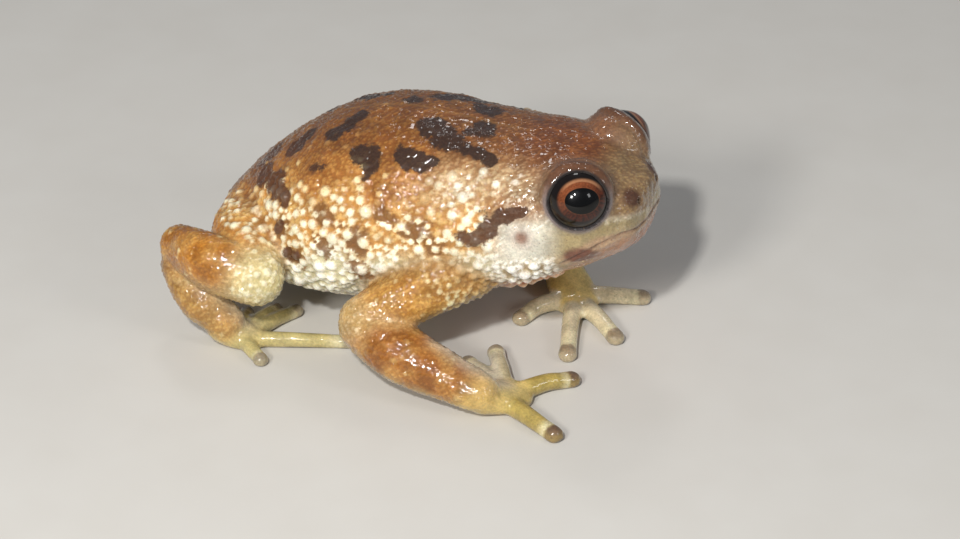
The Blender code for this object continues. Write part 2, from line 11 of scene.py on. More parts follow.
import bmesh
import bpy
import numpy as np
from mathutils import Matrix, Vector


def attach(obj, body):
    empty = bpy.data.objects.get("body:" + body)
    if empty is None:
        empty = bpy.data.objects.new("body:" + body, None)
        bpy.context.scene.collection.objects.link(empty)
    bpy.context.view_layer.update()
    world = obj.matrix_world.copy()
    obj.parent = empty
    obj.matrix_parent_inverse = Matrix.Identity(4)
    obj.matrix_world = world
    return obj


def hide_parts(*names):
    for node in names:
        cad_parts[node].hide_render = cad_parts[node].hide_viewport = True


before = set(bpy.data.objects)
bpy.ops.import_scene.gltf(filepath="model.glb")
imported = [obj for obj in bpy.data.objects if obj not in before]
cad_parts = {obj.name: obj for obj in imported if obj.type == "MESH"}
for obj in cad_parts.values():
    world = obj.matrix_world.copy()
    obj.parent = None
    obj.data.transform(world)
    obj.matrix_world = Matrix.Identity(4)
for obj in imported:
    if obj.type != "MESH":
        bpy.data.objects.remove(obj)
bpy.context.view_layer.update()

# %% [markdown]
# ## Measures
# Lengths are in millimetres from the point on the floor under the eyes, because that is how
# one measures an animal from its face backwards. One shift brings them to the middle of
# the footprint, where the model's origin is.

# %% Millimetres from the point under the eyes
MM = 0.001
EYES_TO_ORIGIN = np.array((14.2, 0.3, 0.0))


def in_model(points):
    """Model place = (measured place + shift) times one millimetre."""
    return (np.asarray(points, float) + EYES_TO_ORIGIN) * MM


def unit(direction):
    """A direction divided by its own length."""
    direction = np.asarray(direction, float)
    return direction / np.linalg.norm(direction)


def ramp(low, high, value):
    """0 below low, 1 above high, and the cubic 3t^2 - 2t^3 in between."""
    t = np.clip((value - low) / (high - low), 0.0, 1.0)
    return t * t * (3 - 2 * t)


# %% [markdown]
# ## Curves and closed surfaces
# Skin has no corners, so every form starts as a few measured rows with a smooth curve
# through them. A Catmull-Rom curve passes through each row, which a Bezier handle doesn't,
# so the numbers stay the real widths and heights.

# %% A smooth curve through measured rows
def smooth_path(rows, count):
    """Catmull-Rom curve through rows of numbers, read at count even steps."""
    rows = np.asarray(rows, float)
    padded = np.vstack([2 * rows[0] - rows[1], rows, 2 * rows[-1] - rows[-2]])
    where = np.linspace(0, len(rows) - 1, count)
    left = np.minimum(where.astype(int), len(rows) - 2)
    t = (where - left)[:, None]
    a, b, c, d = (padded[left + k] for k in range(4))
    return 0.5 * (2 * b + (c - a) * t + (2 * a - 5 * b + 4 * c - d) * t**2 + (3 * b - a - 3 * c + d) * t**3)


# %% Rings of points as one closed surface
def closed_rings(rings, start, stop):
    """Points and faces of a tube: ring i joins ring i + 1, and a fan closes each end."""
    count, sides, _ = rings.shape
    points = np.vstack([rings.reshape(-1, 3), start, stop])
    index = np.arange(count * sides).reshape(count, sides)
    here, there = index[:-1], index[1:]
    quads = np.stack([here, np.roll(here, -1, 1), np.roll(there, -1, 1), there], axis=-1).reshape(-1, 4)
    low = np.stack([np.full(sides, count * sides), np.roll(index[0], -1), index[0]], axis=-1)
    high = np.stack([np.full(sides, count * sides + 1), index[-1], np.roll(index[-1], -1)], axis=-1)
    return points, [*quads.tolist(), *low.tolist(), *high.tolist()]


# %% [markdown]
# ## Head and body
# A frog has no neck: head and body are one barrel, widest at the belly, with a flat top to
# the short snout. It is carried as one section along the spine. The section is a
# superellipse, whose power makes the back of the head squarer than the round belly.

# %% The barrel of head and body
# Place along the spine, top, belly, half width, height of the widest point as a share of
# the depth, and the power of the upper half.
TRUNK_ROWS = (
    (-31.2, 6.0, 6.0, 0.0, 0.50, 1.00),
    (-30.8, 7.4, 4.6, 2.0, 0.50, 1.00),
    (-29.7, 9.0, 3.5, 3.6, 0.50, 1.00),
    (-27.7, 11.3, 2.6, 5.4, 0.48, 1.00),
    (-24.4, 14.3, 2.0, 7.5, 0.47, 1.00),
    (-20.0, 17.1, 2.1, 8.8, 0.46, 1.00),
    (-15.0, 18.4, 3.0, 8.8, 0.45, 0.98),
    (-10.0, 18.4, 4.3, 7.9, 0.43, 0.92),
    (-6.0, 18.3, 5.9, 7.2, 0.41, 0.82),
    (-2.5, 18.1, 7.7, 6.8, 0.40, 0.74),
    (0.4, 17.5, 9.2, 6.0, 0.42, 0.70),
    (2.2, 16.7, 10.2, 4.9, 0.44, 0.74),
    (3.35, 16.2, 10.9, 3.7, 0.46, 0.80),
    (3.95, 15.5, 11.7, 2.4, 0.48, 0.90),
    (4.15, 13.8, 13.8, 0.0, 0.50, 1.00),
)
BELLY_POWER = 0.95
spine = smooth_path(TRUNK_ROWS, 160)


def barrel(rows, sides=96):
    """y = w sgn(cos a)|cos a|^p and z = m + h sgn(sin a)|sin a|^p along the rows' x."""
    x, top, belly, half, widest, round_back = (rows[1:-1, k, None] for k in range(6))
    angle = np.linspace(0, 2 * math.pi, sides, endpoint=False)[None, :]
    above = np.sin(angle) > 0
    power = np.where(above, round_back, BELLY_POWER)
    middle = belly + (top - belly) * widest
    rise = np.where(above, top - middle, middle - belly)
    y = half * np.sign(np.cos(angle)) * np.abs(np.cos(angle)) ** power
    z = middle + rise * np.sign(np.sin(angle)) * np.abs(np.sin(angle)) ** power
    rings = np.stack([np.broadcast_to(x, y.shape), y, z], axis=-1)
    return closed_rings(rings, (rows[0, 0], 0, rows[0, 1]), (rows[-1, 0], 0, rows[-1, 1]))


forms = [barrel(spine)]
print("barrel:", len(forms[0][0]), "points")

# %% [markdown]
# ## The bumps that hold the eyes
# Each eye sits in a round bump at the top corner of the head. A ball is right for it,
# because the lid has to follow the eyeball under it.

# %% Two lid bumps
EYE_RADIUS, EYE_FORWARD = 2.38, 0.34
LID_RADIUS = 2.86
SIDES = {"right": -1, "left": 1}
LID_CENTRE = {word: np.array((-0.2, side * 4.15, 16.0)) for word, side in SIDES.items()}
GAZE = {word: unit((0.38, side * 0.83, 0.41)) for word, side in SIDES.items()}


def ball(centre, radius, rings=40, sides=64):
    """Centre + radius (sin b cos a, sin b sin a, -cos b) for b from 0 to pi."""
    b = np.linspace(0, math.pi, rings + 2)[1:-1, None]
    a = np.linspace(0, 2 * math.pi, sides, endpoint=False)[None, :]
    across = np.stack([np.sin(b) * np.cos(a), np.sin(b) * np.sin(a), -np.cos(b) + 0 * a], axis=-1)
    poles = np.array(((0, 0, -1.0), (0, 0, 1.0))) * radius + centre
    return closed_rings(across * radius + centre, poles[0], poles[1])


forms += [ball(LID_CENTRE[word], LID_RADIUS) for word in SIDES]

# %% [markdown]
# ## Limbs
# Each arm and leg is a chain of tapered pieces that overlap at the joints, and each piece
# ends in a half ball, so that bent joints come out full. The upper arm leaves the chest,
# the forearm runs forward and down, and the hand turns in. The hind leg is folded.

# %% Rows of the arms and legs
# Each row is a place on the centre line, the half width and the half depth.
ARM_ROWS = {
    "right": {
        "upper_arm": (
            (-8.4, -4.6, 8.6, 2.5, 2.7), (-11.5, -7.8, 7.0, 2.1, 2.3), (-15.0, -9.9, 4.8, 1.9, 2.0),
        ),
        "forearm": (
            (-15.0, -9.9, 4.4, 2.0, 2.1), (-11.2, -11.0, 3.3, 2.2, 2.2), (-5.0, -11.4, 1.85, 1.6, 1.45),
        ),
        "palm": ((-4.8, -11.3, 1.4, 1.5, 1.3), (-3.9, -10.0, 0.85, 1.9, 1.1), (-3.2, -8.9, 0.6, 1.8, 0.85)),
    },
    "left": {
        "upper_arm": ((-8.4, 4.6, 8.6, 2.5, 2.7), (-11.9, 8.2, 7.0, 2.1, 2.3), (-15.2, 10.6, 4.8, 1.9, 2.0)),
        "forearm": ((-15.2, 10.6, 4.4, 1.9, 2.0), (-11.4, 10.0, 3.3, 2.0, 2.1), (-5.7, 7.4, 1.9, 1.6, 1.5)),
        "palm": ((-5.5, 7.2, 1.5, 1.6, 1.4), (-4.1, 5.7, 0.85, 1.9, 1.1), (-3.3, 4.6, 0.6, 1.8, 0.85)),
    },
}
LEG_ROWS = {
    "right": {
        "thigh": ((-27.4, -2.6, 7.0, 2.8, 2.8), (-26.4, -6.6, 7.3, 2.7, 2.8), (-24.0, -9.9, 6.5, 2.1, 2.2)),
        "shank": ((-24.2, -9.9, 6.3, 1.9, 2.1), (-27.6, -10.4, 7.3, 1.9, 2.3), (-31.0, -8.8, 6.9, 1.5, 1.8)),
        "ankle": (
            (-31.0, -9.0, 5.4, 1.5, 1.6), (-29.2, -9.9, 3.6, 1.6, 1.85), (-26.7, -10.0, 1.75, 1.45, 1.5),
        ),
        "sole": (
            (-26.9, -10.0, 1.3, 1.5, 1.25), (-25.8, -9.8, 0.8, 1.5, 1.05), (-24.7, -9.6, 0.5, 1.3, 0.80),
        ),
    },
    "left": {
        "thigh": ((-27.0, 2.6, 6.4, 2.8, 2.8), (-25.6, 6.5, 6.2, 2.6, 2.6), (-23.2, 9.6, 5.6, 2.0, 2.1)),
        "shank": ((-23.4, 9.6, 5.4, 1.8, 2.0), (-26.5, 9.8, 5.8, 1.7, 2.0), (-29.4, 7.6, 5.5, 1.4, 1.6)),
        "ankle": ((-29.6, 7.7, 4.5, 1.4, 1.4), (-28.2, 8.7, 3.0, 1.3, 1.4), (-26.1, 9.3, 1.5, 1.2, 1.1)),
        "sole": ((-26.1, 9.3, 1.2, 1.3, 1.0), (-25.1, 9.3, 0.7, 1.5, 0.9), (-24.1, 9.2, 0.5, 1.3, 0.75)),
    },
}


# %% A tapered piece along a curve
def limb_line(rows, count=24):
    """Centre line and radii of a piece: the smooth curve through its rows."""
    path = smooth_path(rows, count)
    return path[:, :3], path[:, 3], path[:, 4]


def rounded_limb(rows, count=24, sides=32):
    """Ovals c + w cos(a) across + d sin(a) upward, shrunk as a half ball past each end."""
    centre, wide, deep = limb_line(rows, count)
    along = np.gradient(centre, axis=0)
    along /= np.linalg.norm(along, axis=1, keepdims=True)
    across = np.cross(along, (0.0, 0.0, 1.0))
    across /= np.linalg.norm(across, axis=1, keepdims=True)
    upward = np.cross(across, along)
    cap = np.radians((78, 62, 46, 30, 15))
    low = centre[0] - np.sin(cap)[:, None] * along[0] * (wide[0] + deep[0]) / 2
    high = centre[-1] + np.sin(cap)[::-1, None] * along[-1] * (wide[-1] + deep[-1]) / 2
    line = np.vstack([low, centre, high])
    shrink = np.concatenate([np.cos(cap), np.ones(count), np.cos(cap)[::-1]])
    index = np.concatenate([[0] * len(cap), np.arange(count), [count - 1] * len(cap)])
    angle = np.linspace(0, 2 * math.pi, sides, endpoint=False)
    sideways = (wide[index] * shrink)[:, None] * np.cos(angle)
    upwards = (deep[index] * shrink)[:, None] * np.sin(angle)
    rings = line[:, None] + sideways[..., None] * across[index][:, None]
    rings = rings + upwards[..., None] * upward[index][:, None]
    start = centre[0] - along[0] * (wide[0] + deep[0]) / 2
    stop = centre[-1] + along[-1] * (wide[-1] + deep[-1]) / 2
    for part in (rings, start, stop):
        part[..., 2] = np.maximum(part[..., 2], 0.0)
    return closed_rings(rings, start, stop)


# %% [markdown]
# ## Fingers and toes
# This frog's digits are short and even, with blunt tips barely wider than the shaft and
# no webs to speak of. Each is a curve through base, middle and tip with a small swelling
# before the end. What rests on the ground is pressed flat at the height of the floor.

# %% Rows of the digits
# Each digit is three places: base, middle and tip. The radii are those of shaft and tip.
FINGER_RADII, TOE_RADII = (0.72, 0.76), (0.61, 0.66)
FINGER_PLACES = {
    "right": (
        ((-4.2, -9.4, 0.60), (-6.2, -7.6, 0.72), (-8.0, -6.3, 0.42)),
        ((-3.8, -9.0, 0.60), (-5.3, -6.4, 0.75), (-6.6, -4.1, 0.42)),
        ((-3.2, -9.0, 0.60), (-1.5, -6.9, 0.75), (0.1, -5.3, 0.42)),
        ((-3.2, -10.2, 0.60), (-0.9, -11.5, 0.75), (1.5, -12.5, 0.42)),
    ),
    "left": (
        ((-4.2, 4.8, 0.60), (-5.8, 2.8, 0.72), (-6.6, 1.0, 0.42)),
        ((-3.4, 4.4, 0.60), (-2.5, 1.1, 0.75), (-1.4, -2.3, 0.42)),
        ((-3.0, 4.6, 0.60), (-0.9, 3.0, 0.75), (1.2, 1.3, 0.42)),
        ((-3.2, 5.8, 0.60), (-1.0, 6.4, 0.75), (1.2, 7.4, 0.42)),
    ),
}
TOE_PLACES = {
    "right": (
        ((-26.0, -9.0, 0.52), (-26.5, -7.7, 0.58), (-26.8, -6.4, 0.38)),
        ((-25.5, -9.0, 0.52), (-25.3, -7.0, 0.60), (-24.9, -5.1, 0.38)),
        ((-25.0, -9.1, 0.52), (-24.2, -6.9, 0.62), (-23.3, -4.7, 0.38)),
        ((-24.7, -9.7, 0.52), (-21.2, -8.6, 0.65), (-17.5, -7.0, 0.38)),
        ((-25.1, -10.2, 0.52), (-24.1, -11.1, 0.60), (-22.9, -11.9, 0.38)),
    ),
    "left": (
        ((-25.3, 8.5, 0.52), (-25.4, 7.2, 0.58), (-25.2, 5.9, 0.38)),
        ((-24.8, 8.6, 0.52), (-24.2, 6.7, 0.60), (-23.4, 4.9, 0.38)),
        ((-24.2, 8.7, 0.52), (-22.6, 6.7, 0.62), (-20.8, 5.0, 0.38)),
        ((-23.9, 9.3, 0.52), (-20.6, 8.4, 0.65), (-17.2, 7.0, 0.38)),
        ((-24.3, 9.8, 0.52), (-23.3, 10.7, 0.60), (-22.1, 11.5, 0.38)),
    ),
}


def digit_rows(places, radius, tip):
    """Rows of an even shaft that swells to a blunt tip."""
    base, middle, end = (np.array(place) for place in places)
    waist = middle * 0.35 + end * 0.65
    return (
        (*base, radius * 1.12, radius * 1.12),
        (*middle, radius * 0.98, radius * 0.98),
        (*waist, radius * 0.95, radius * 0.93),
        (*end, tip, tip * 0.90),
    )


# %% All limbs, named by what they are
limb_rows, digit_lines = {}, {}
for word in SIDES:
    for name, rows in (*ARM_ROWS[word].items(), *LEG_ROWS[word].items()):
        limb_rows[f"{name}_{word}"] = rows
    for number, places in enumerate(FINGER_PLACES[word], 1):
        digit_lines[f"finger_{number}_{word}"] = digit_rows(places, *FINGER_RADII)
    for number, places in enumerate(TOE_PLACES[word], 1):
        digit_lines[f"toe_{number}_{word}"] = digit_rows(places, *TOE_RADII)

forms += [rounded_limb(rows) for rows in limb_rows.values()]
forms += [rounded_limb(rows, 20, 24) for rows in digit_lines.values()]
print("limb pieces:", len(limb_rows), "digits:", len(digit_lines))

# %% [markdown]
# ## One skin over everything
# The forms overlap like clay laid on clay. A voxel remesh wraps all of them in a single
# surface without inner walls, which no set of hand joins would do as cleanly, and a few
# rounds of smoothing let the limbs grow out of the body as flesh does.

# %% Wrap the forms in one skin
SKIN_GRAIN = 0.205


def mesh_object(name, points, faces):
    """An object with its place in its mesh, so that the object itself stays at the origin."""
    mesh = bpy.data.meshes.new(name)
    mesh.from_pydata(in_model(points), [], faces)
    thing = bpy.data.objects.new(name, mesh)
    bpy.context.scene.collection.objects.link(thing)
    return thing


def apply_modifier(thing, kind, **settings):
    """Adds a modifier with its settings and keeps its result as the object's own mesh."""
    modifier = thing.modifiers.new(kind.title(), kind)
    for key, value in settings.items():
        setattr(modifier, key, value)
    graph = bpy.context.evaluated_depsgraph_get()
    baked = bpy.data.meshes.new_from_object(thing.evaluated_get(graph))
    thing.modifiers.clear()
    thing.data = baked


def face_outward(mesh):
    """Turns every face of a closed mesh outward."""
    work = bmesh.new()
    work.from_mesh(mesh)
    bmesh.ops.recalc_face_normals(work, faces=work.faces)
    work.to_mesh(mesh)
    work.free()


starts = np.cumsum([0] + [len(points) for points, _ in forms])
clay_faces = [
    [corner + int(start) for corner in face] for (_, faces), start in zip(forms, starts) for face in faces
]
skin = mesh_object("skin", np.vstack([points for points, _ in forms]), clay_faces)
face_outward(skin.data)
apply_modifier(skin, "REMESH", mode="VOXEL", voxel_size=SKIN_GRAIN * MM, adaptivity=0.0)
apply_modifier(skin, "SMOOTH", factor=0.5, iterations=6)
print("skin:", len(skin.data.vertices), "points,", len(skin.data.polygons), "faces")

# %% [markdown]
# ## Finer skin round the eyes, nose and mouth
# Lids, nostrils and lips have edges far thinner than a wart. Only their neighbourhood is
# divided once more, so that the detail goes where the eye looks first.

# %% Divide the face where it needs it
MOUTH_LINE = np.array(((8.0, 13.15), (4.4, 13.25), (3.2, 13.50), (1.8, 12.90), (0.6, 12.10), (-0.5, 11.35)))
NOSTRIL = {word: np.array((3.85, side * 1.80, 15.25)) for word, side in SIDES.items()}
LID_EDGE, LID_OVERHANG = 1.05, 0.14


def read_skin():
    """Places and outward normals of the skin's points, in millimetres from under the eyes."""
    count = len(skin.data.vertices)
    places, normals = np.empty(count * 3), np.empty(count * 3)
    skin.data.vertices.foreach_get("co", places)
    skin.data.vertices.foreach_get("normal", normals)
    return places.reshape(-1, 3) / MM - EYES_TO_ORIGIN, normals.reshape(-1, 3)


def write_skin(places):
    """Puts moved points back into the skin's mesh."""
    skin.data.vertices.foreach_set("co", in_model(places).astype(np.float32).ravel())
    skin.data.update()


def from_line(points, line):
    """Distance from points to a line of straight parts, in as many directions as it has."""
    best = np.full(len(points), np.inf)
    for a, b in zip(line[:-1], line[1:]):
        along = np.clip((points - a) @ (b - a) / ((b - a) @ (b - a)), 0, 1)
        best = np.minimum(best, np.linalg.norm(points - a - along[:, None] * (b - a), axis=1))
    return best


def from_gaze(places, word):
    """Distance from the middle of a lid bump, angle away from that eye's gaze, and upwardness.

    The angle is larger by the overhang above the eye, so that the upper lid reaches further.
    """
    offset = places - LID_CENTRE[word]
    distance = np.linalg.norm(offset, axis=1)
    upward = np.cross(GAZE[word], unit(np.cross((0, 0, 1.0), GAZE[word])))
    angle = np.arccos(np.clip(offset @ GAZE[word] / distance, -1, 1))
    above = ramp(-0.3, 0.7, offset @ upward / distance / np.maximum(np.sin(angle), 0.1))
    return distance, angle + LID_OVERHANG * above, above


places, normals = read_skin()
fine = from_line(places[:, [0, 2]], MOUTH_LINE) < 0.35
for word in SIDES:
    distance, angle, _ = from_gaze(places, word)
    fine |= (distance < 3.5) & (np.abs(angle - LID_EDGE) < 0.18)
    fine |= np.linalg.norm(places - NOSTRIL[word], axis=1) < 0.7
work = bmesh.new()
work.from_mesh(skin.data)
work.verts.ensure_lookup_table()
chosen = {work.verts[index] for index in np.flatnonzero(fine)}
edges = [edge for edge in work.edges if edge.verts[0] in chosen and edge.verts[1] in chosen]
bmesh.ops.subdivide_edges(work, edges=edges, cuts=1, use_grid_fill=True)
bmesh.ops.triangulate(work, faces=[face for face in work.faces if len(face.verts) > 4])
work.to_mesh(skin.data)
work.free()
print("after dividing:", len(skin.data.vertices), "points")

# %% [markdown]
# ## Sculpt the face
# The lid ends in a soft rim and the skin then dives under the eyeball. Along the mouth the
# lips swell a little on both sides of a thin groove, and each nostril is a small pit
# in a raised ring. All of it is worked out as a push along the normal or towards the
# middle of the eye, so no hole or seam is left behind.

# %% Lid rims and eye sockets
# Both are distances from the middle of the lid bump. The rim is a thin edge, a soft fold
# above the eye and a crease around both.
SOCKET_FLOOR, LID_AT_EDGE = 2.0, 2.64
places, normals = read_skin()
for word in SIDES:
    distance, angle, above = from_gaze(places, word)
    near = distance < 4.0
    hugging = (1 - ramp(LID_EDGE, LID_EDGE + 0.40, angle)) * near
    rim = 0.06 * np.exp(-(((angle - LID_EDGE - 0.05) / 0.06) ** 2)) * near
    rim += (0.17 * np.exp(-(((angle - LID_EDGE - 0.22) / 0.13) ** 2))) * above * near
    rim -= 0.10 * np.exp(-(((angle - LID_EDGE - 0.46) / 0.07) ** 2)) * near
    inside = (1 - ramp(LID_EDGE - 0.10, LID_EDGE + 0.01, angle)) * near
    shrunk = distance - (distance - LID_AT_EDGE) * hugging + rim
    shrunk = shrunk - (shrunk - SOCKET_FLOOR) * inside
    places = LID_CENTRE[word] + (places - LID_CENTRE[word]) * (shrunk / distance)[:, None]
write_skin(places)

# %% Lips, mouth groove and nostrils
places, normals = read_skin()
from_mouth = from_line(places[:, [0, 2]], MOUTH_LINE)
at_mouth = ramp(-1.3, -0.3, places[:, 0])
lift = (0.15 * np.exp(-((from_mouth / 0.50) ** 2)) - 0.17 * np.exp(-((from_mouth / 0.12) ** 2))) * at_mouth
for word in SIDES:
    away = np.linalg.norm(places - NOSTRIL[word], axis=1)
    lift += 0.15 * np.exp(-((away / 0.55) ** 2)) - 0.50 * np.exp(-((away / 0.19) ** 2))
write_skin(places + normals * lift[:, None])

# %% [markdown]
# ## Where each part of the skin is
# Warts, colours and gloss all depend on where on the body one is. A few fields, one number
# per point, say how far round the barrel a point lies, and whether it belongs to a limb, a
# hand or a fingertip. Everything after this reads these fields.

# %% Fields over the skin
places, normals = read_skin()
x, y, z = places.T
order = np.argsort(spine[:, 0])
top, belly, half, widest = (np.interp(x, spine[order, 0], spine[order, k]) for k in (1, 2, 3, 4))
middle = belly + (top - belly) * widest
rise = np.where(z > middle, top - middle, middle - belly)
height, breadth = (z - middle) / np.maximum(rise, 0.5), np.abs(y) / np.maximum(half, 0.5)
round_angle = np.degrees(np.arctan2(height, breadth))
from_trunk = (np.hypot(height, breadth) - 1) * np.maximum(half, 0.5)


def from_pieces(rows_by_name, count=24):
    """Least distance to any piece's skin, and how far along that piece, from 0 to 1."""
    best, along = np.full(len(places), 50.0), np.zeros(len(places))
    for rows in rows_by_name.values():
        centre, wide, deep = limb_line(rows, count)
        box = np.all((places > centre.min(0) - 4.5) & (places < centre.max(0) + 4.5), axis=1)
        gap = np.linalg.norm(places[box, None] - centre[None], axis=2) - (wide + deep) / 2
        nearest = gap.argmin(1)
        better = gap.min(1) < best[box]
        index = np.flatnonzero(box)[better]
        best[index] = gap.min(1)[better]
        along[index] = nearest[better] / (count - 1)
    return best, along


def chosen_rows(*kinds):
    """The limb rows whose names start with one of the kinds."""
    return {name: rows for name, rows in limb_rows.items() if name.startswith(kinds)}


from_arm, arm_along = from_pieces(chosen_rows("upper_arm"))
from_forearm, from_thigh, from_shank, from_ankle = (
    from_pieces(chosen_rows(kind))[0] for kind in ("forearm", "thigh", "shank", "ankle")
)
from_hand, _ = from_pieces(chosen_rows("palm", "sole"))
from_digit, digit_along = from_pieces(digit_lines)
from_limb = np.minimum.reduce([from_arm, from_forearm, from_thigh, from_shank, from_ankle])
is_limb = ramp(-0.5, 0.7, from_trunk - np.minimum(from_limb, from_hand))
# High on the rump the thigh counts as body, so the warts of the flank run on over it.
is_limb *= 1 - ramp(8.0, 9.8, z) * ramp(20, 23, -x) * ramp(0.0, 1.4, from_shank - from_thigh)
past_wrist = np.minimum(from_limb, from_trunk) - np.minimum(from_hand, from_digit)
is_hand = ramp(-0.3, 0.5, past_wrist)
is_digit = ramp(-0.25, 0.35, np.minimum(from_hand, from_limb) - from_digit) * is_hand
print("share of points on limbs:", round(float(is_limb.mean()), 2))


def distance_to_nearest(*spots):
    """Distance of each point to the nearest of the spots."""
    return np.minimum.reduce([np.linalg.norm(places - spot, axis=1) for spot in spots])


knee = distance_to_nearest((-23.0, -10.4, 6.6), (-22.4, 10.1, 5.6))
elbow = distance_to_nearest((-15.6, -10.6, 5.2), (-15.8, 11.2, 5.2))
is_knee = 1 - ramp(1.0, 4.4, knee)


def waves(points, size, seed, count=14):
    """A smooth random field from -1 to 1: a mean of sine waves about size millimetres long."""
    chance = np.random.default_rng(seed)
    way = chance.normal(size=(count, 3))
    wavelengths = size * chance.uniform(0.7, 1.5, (count, 1))
    way *= (2 * math.pi / wavelengths) / np.linalg.norm(way, axis=1)[:, None]
    return np.sin(points @ way.T + chance.uniform(0, 2 * math.pi, count)).mean(1) * math.sqrt(2 * count) / 2.4


# %% [markdown]
# ## Warts
# The flanks carry round, crowded, milky warts about a millimetre across, the back lower
# and browner ones, and the limbs and head a fine grain. They are domes raised from the
# skin itself, so they catch the light at their edges, which a painted bump can't do in
# outline. Places are drawn at random from a fixed seed and thinned, so that they crowd but
# don't cover each other.

# %% How large and how high the warts are in each place
wander = waves(places, 4.0, 3)
# The pale warts of the flank climb higher behind the eye, so the angle there counts for less.
PALE_NECK = np.array(((-3.0, -5.6, 16.6), (-5.5, -5.3, 16.7), (-9.5, -6.1, 16.1)))
to_right = places * (1.0, -1.0, 1.0) ** (y[:, None] > 0)
near_neck = np.exp(-((from_line(to_right, PALE_NECK) / 1.8) ** 2))
around = round_angle + 9 * wander - 18 * near_neck - 13 * ramp(19, 25, -x)
is_back = ramp(30, 52, around)
is_under = 1 - ramp(-52, -28, round_angle)
head_front = ramp(-7.2, -4.2, x)
is_snout = ramp(-0.6, 1.6, x)
is_jawline = head_front * (1 - ramp(-14, 0, round_angle)) * (1 - ramp(-1.6, -0.6, x))
wart_size = 0.46 + 0.08 * (1 - ramp(2, 20, around)) - 0.19 * is_back - 0.18 * is_under
wart_size = wart_size * (1 - head_front) + head_front * (0.25 + 0.33 * is_jawline - 0.04 * is_snout)
is_shoulder = 1 - ramp(0.1, 0.7, arm_along + 2 * (from_arm > 0.8))
wart_size = wart_size * (1 - is_limb) + is_limb * (0.25 + 0.10 * is_shoulder + 0.10 * is_knee)
wart_rise = 0.74 - 0.34 * is_back - 0.40 * is_under
is_cheek = head_front * (1 - ramp(16, 30, round_angle)) * (1 - is_jawline)
wart_rise = wart_rise * (1 - head_front) + head_front * (0.30 + 0.46 * is_jawline - 0.10 * is_snout)
wart_rise *= 1 - 0.95 * is_cheek * ramp(-6.4, -5.2, x)
wart_rise = wart_rise * (1 - is_limb) + is_limb * (0.42 + 0.26 * is_shoulder + 0.16 * is_knee)
wart_rise *= 1 - is_hand
lid_fields = [from_gaze(places, word) for word in SIDES]
lid_angle = np.minimum(*(angle + 9 * (distance > 4.0) for distance, angle, _ in lid_fields))
lid_above = np.maximum(*(above * (distance < 4.0) for distance, _, above in lid_fields))
wart_rise *= ramp(LID_EDGE + 0.10, LID_EDGE + 0.35, lid_angle)
wart_rise *= ramp(0.35, 0.8, np.where(x > -1.2, from_mouth, 9))
wart_rise *= ramp(0.5, 1.0, np.minimum(*(np.linalg.norm(places - NOSTRIL[word], axis=1) for word in SIDES)))


# %% Places of the warts
SMALLEST_WART, MOST_WARTS, WART_TRIES, WART_SEED = 0.15, 20000, 30000, 11
# Share of the places tried so far, and the share of full size that a wart there gets.
SIZE_FALL = ((0, 0.015, 0.10, 1), (1.25, 0.98, 0.66, 0.38))


def thinned(candidates, sizes, seed, closeness=0.74):
    """Gives the candidates ever smaller sizes and keeps each that is clear of all kept before."""
    chance = np.random.default_rng(seed)
    kept_places, kept_sizes = np.empty((MOST_WARTS, 3)), np.empty(MOST_WARTS)
    kept, count = [], 0
    falling = np.interp(np.linspace(0, 1, len(candidates)), *SIZE_FALL)
    for index, share in zip(candidates, falling):
        size = max(SMALLEST_WART, sizes[index] * share * chance.uniform(0.86, 1.12))
        gap = np.abs(kept_places[:count] - places[index]).max(1) if count else np.empty(0)
        close = np.flatnonzero(gap < 1.3)
        apart = np.linalg.norm(kept_places[close] - places[index], axis=1)
        if len(close) and (apart < (kept_sizes[close] + size) * closeness).any():
            continue
        kept_places[count], kept_sizes[count] = places[index], size
        kept.append(index)
        count += 1
    return np.array(kept), kept_sizes[:count].copy()


chance = np.random.default_rng(WART_SEED)
able = np.flatnonzero(wart_rise > 0.06)
tried = chance.permutation(able)[:WART_TRIES]
wart_index, wart_radius = thinned(tried, wart_size, WART_SEED + 1)
wart_place = places[wart_index]
wart_height = wart_radius * wart_rise[wart_index] * chance.uniform(0.8, 1.15, len(wart_index))
bulk = ramp(0.45, 1.05, wart_radius / wart_size[wart_index])
luck = (chance.uniform(0, 1, len(wart_index)) + bulk) / 2
on_trunk = 0.10 + 0.80 * ramp(-6, 62, around)
needed = on_trunk * (1 - is_limb) + is_limb * (0.85 - 0.58 * is_shoulder - 0.60 * is_knee)
wart_pale = ramp(-0.12, 0.22, luck - needed[wart_index])
radii = [round(float(value), 2) for value in (wart_radius.min(), wart_radius.max())]
print("warts:", len(wart_index), "least and largest radius in mm:", radii)


# %% Raise the domes
def domes(points):
    """Height h (1 - (d / 1.2 r)^2)^1.5 of the tallest wart over each point.

    Also the share of h that it has there, and which wart it is.
    """
    raised, share, which = np.zeros(len(points)), np.zeros(len(points)), np.zeros(len(points), int)
    by_x = np.argsort(points[:, 0])
    wart_order = np.argsort(wart_place[:, 0])
    sorted_x = wart_place[wart_order, 0]
    for block in np.array_split(by_x, 400):
        low, high = np.searchsorted(sorted_x, (points[block, 0].min() - 0.8, points[block, 0].max() + 0.8))
        near = wart_order[low:high]
        if len(near) == 0:
            continue
        square = ((points[block, None] - wart_place[None, near]) ** 2).sum(2)
        dome = np.clip(1 - square / (1.2 * wart_radius[near]) ** 2, 0, 1) ** 1.5
        lifted = dome * wart_height[near]
        best = lifted.argmax(1)
        rows = np.arange(len(block))
        raised[block], share[block], which[block] = lifted[rows, best], dome[rows, best], near[best]
    return raised, share, which


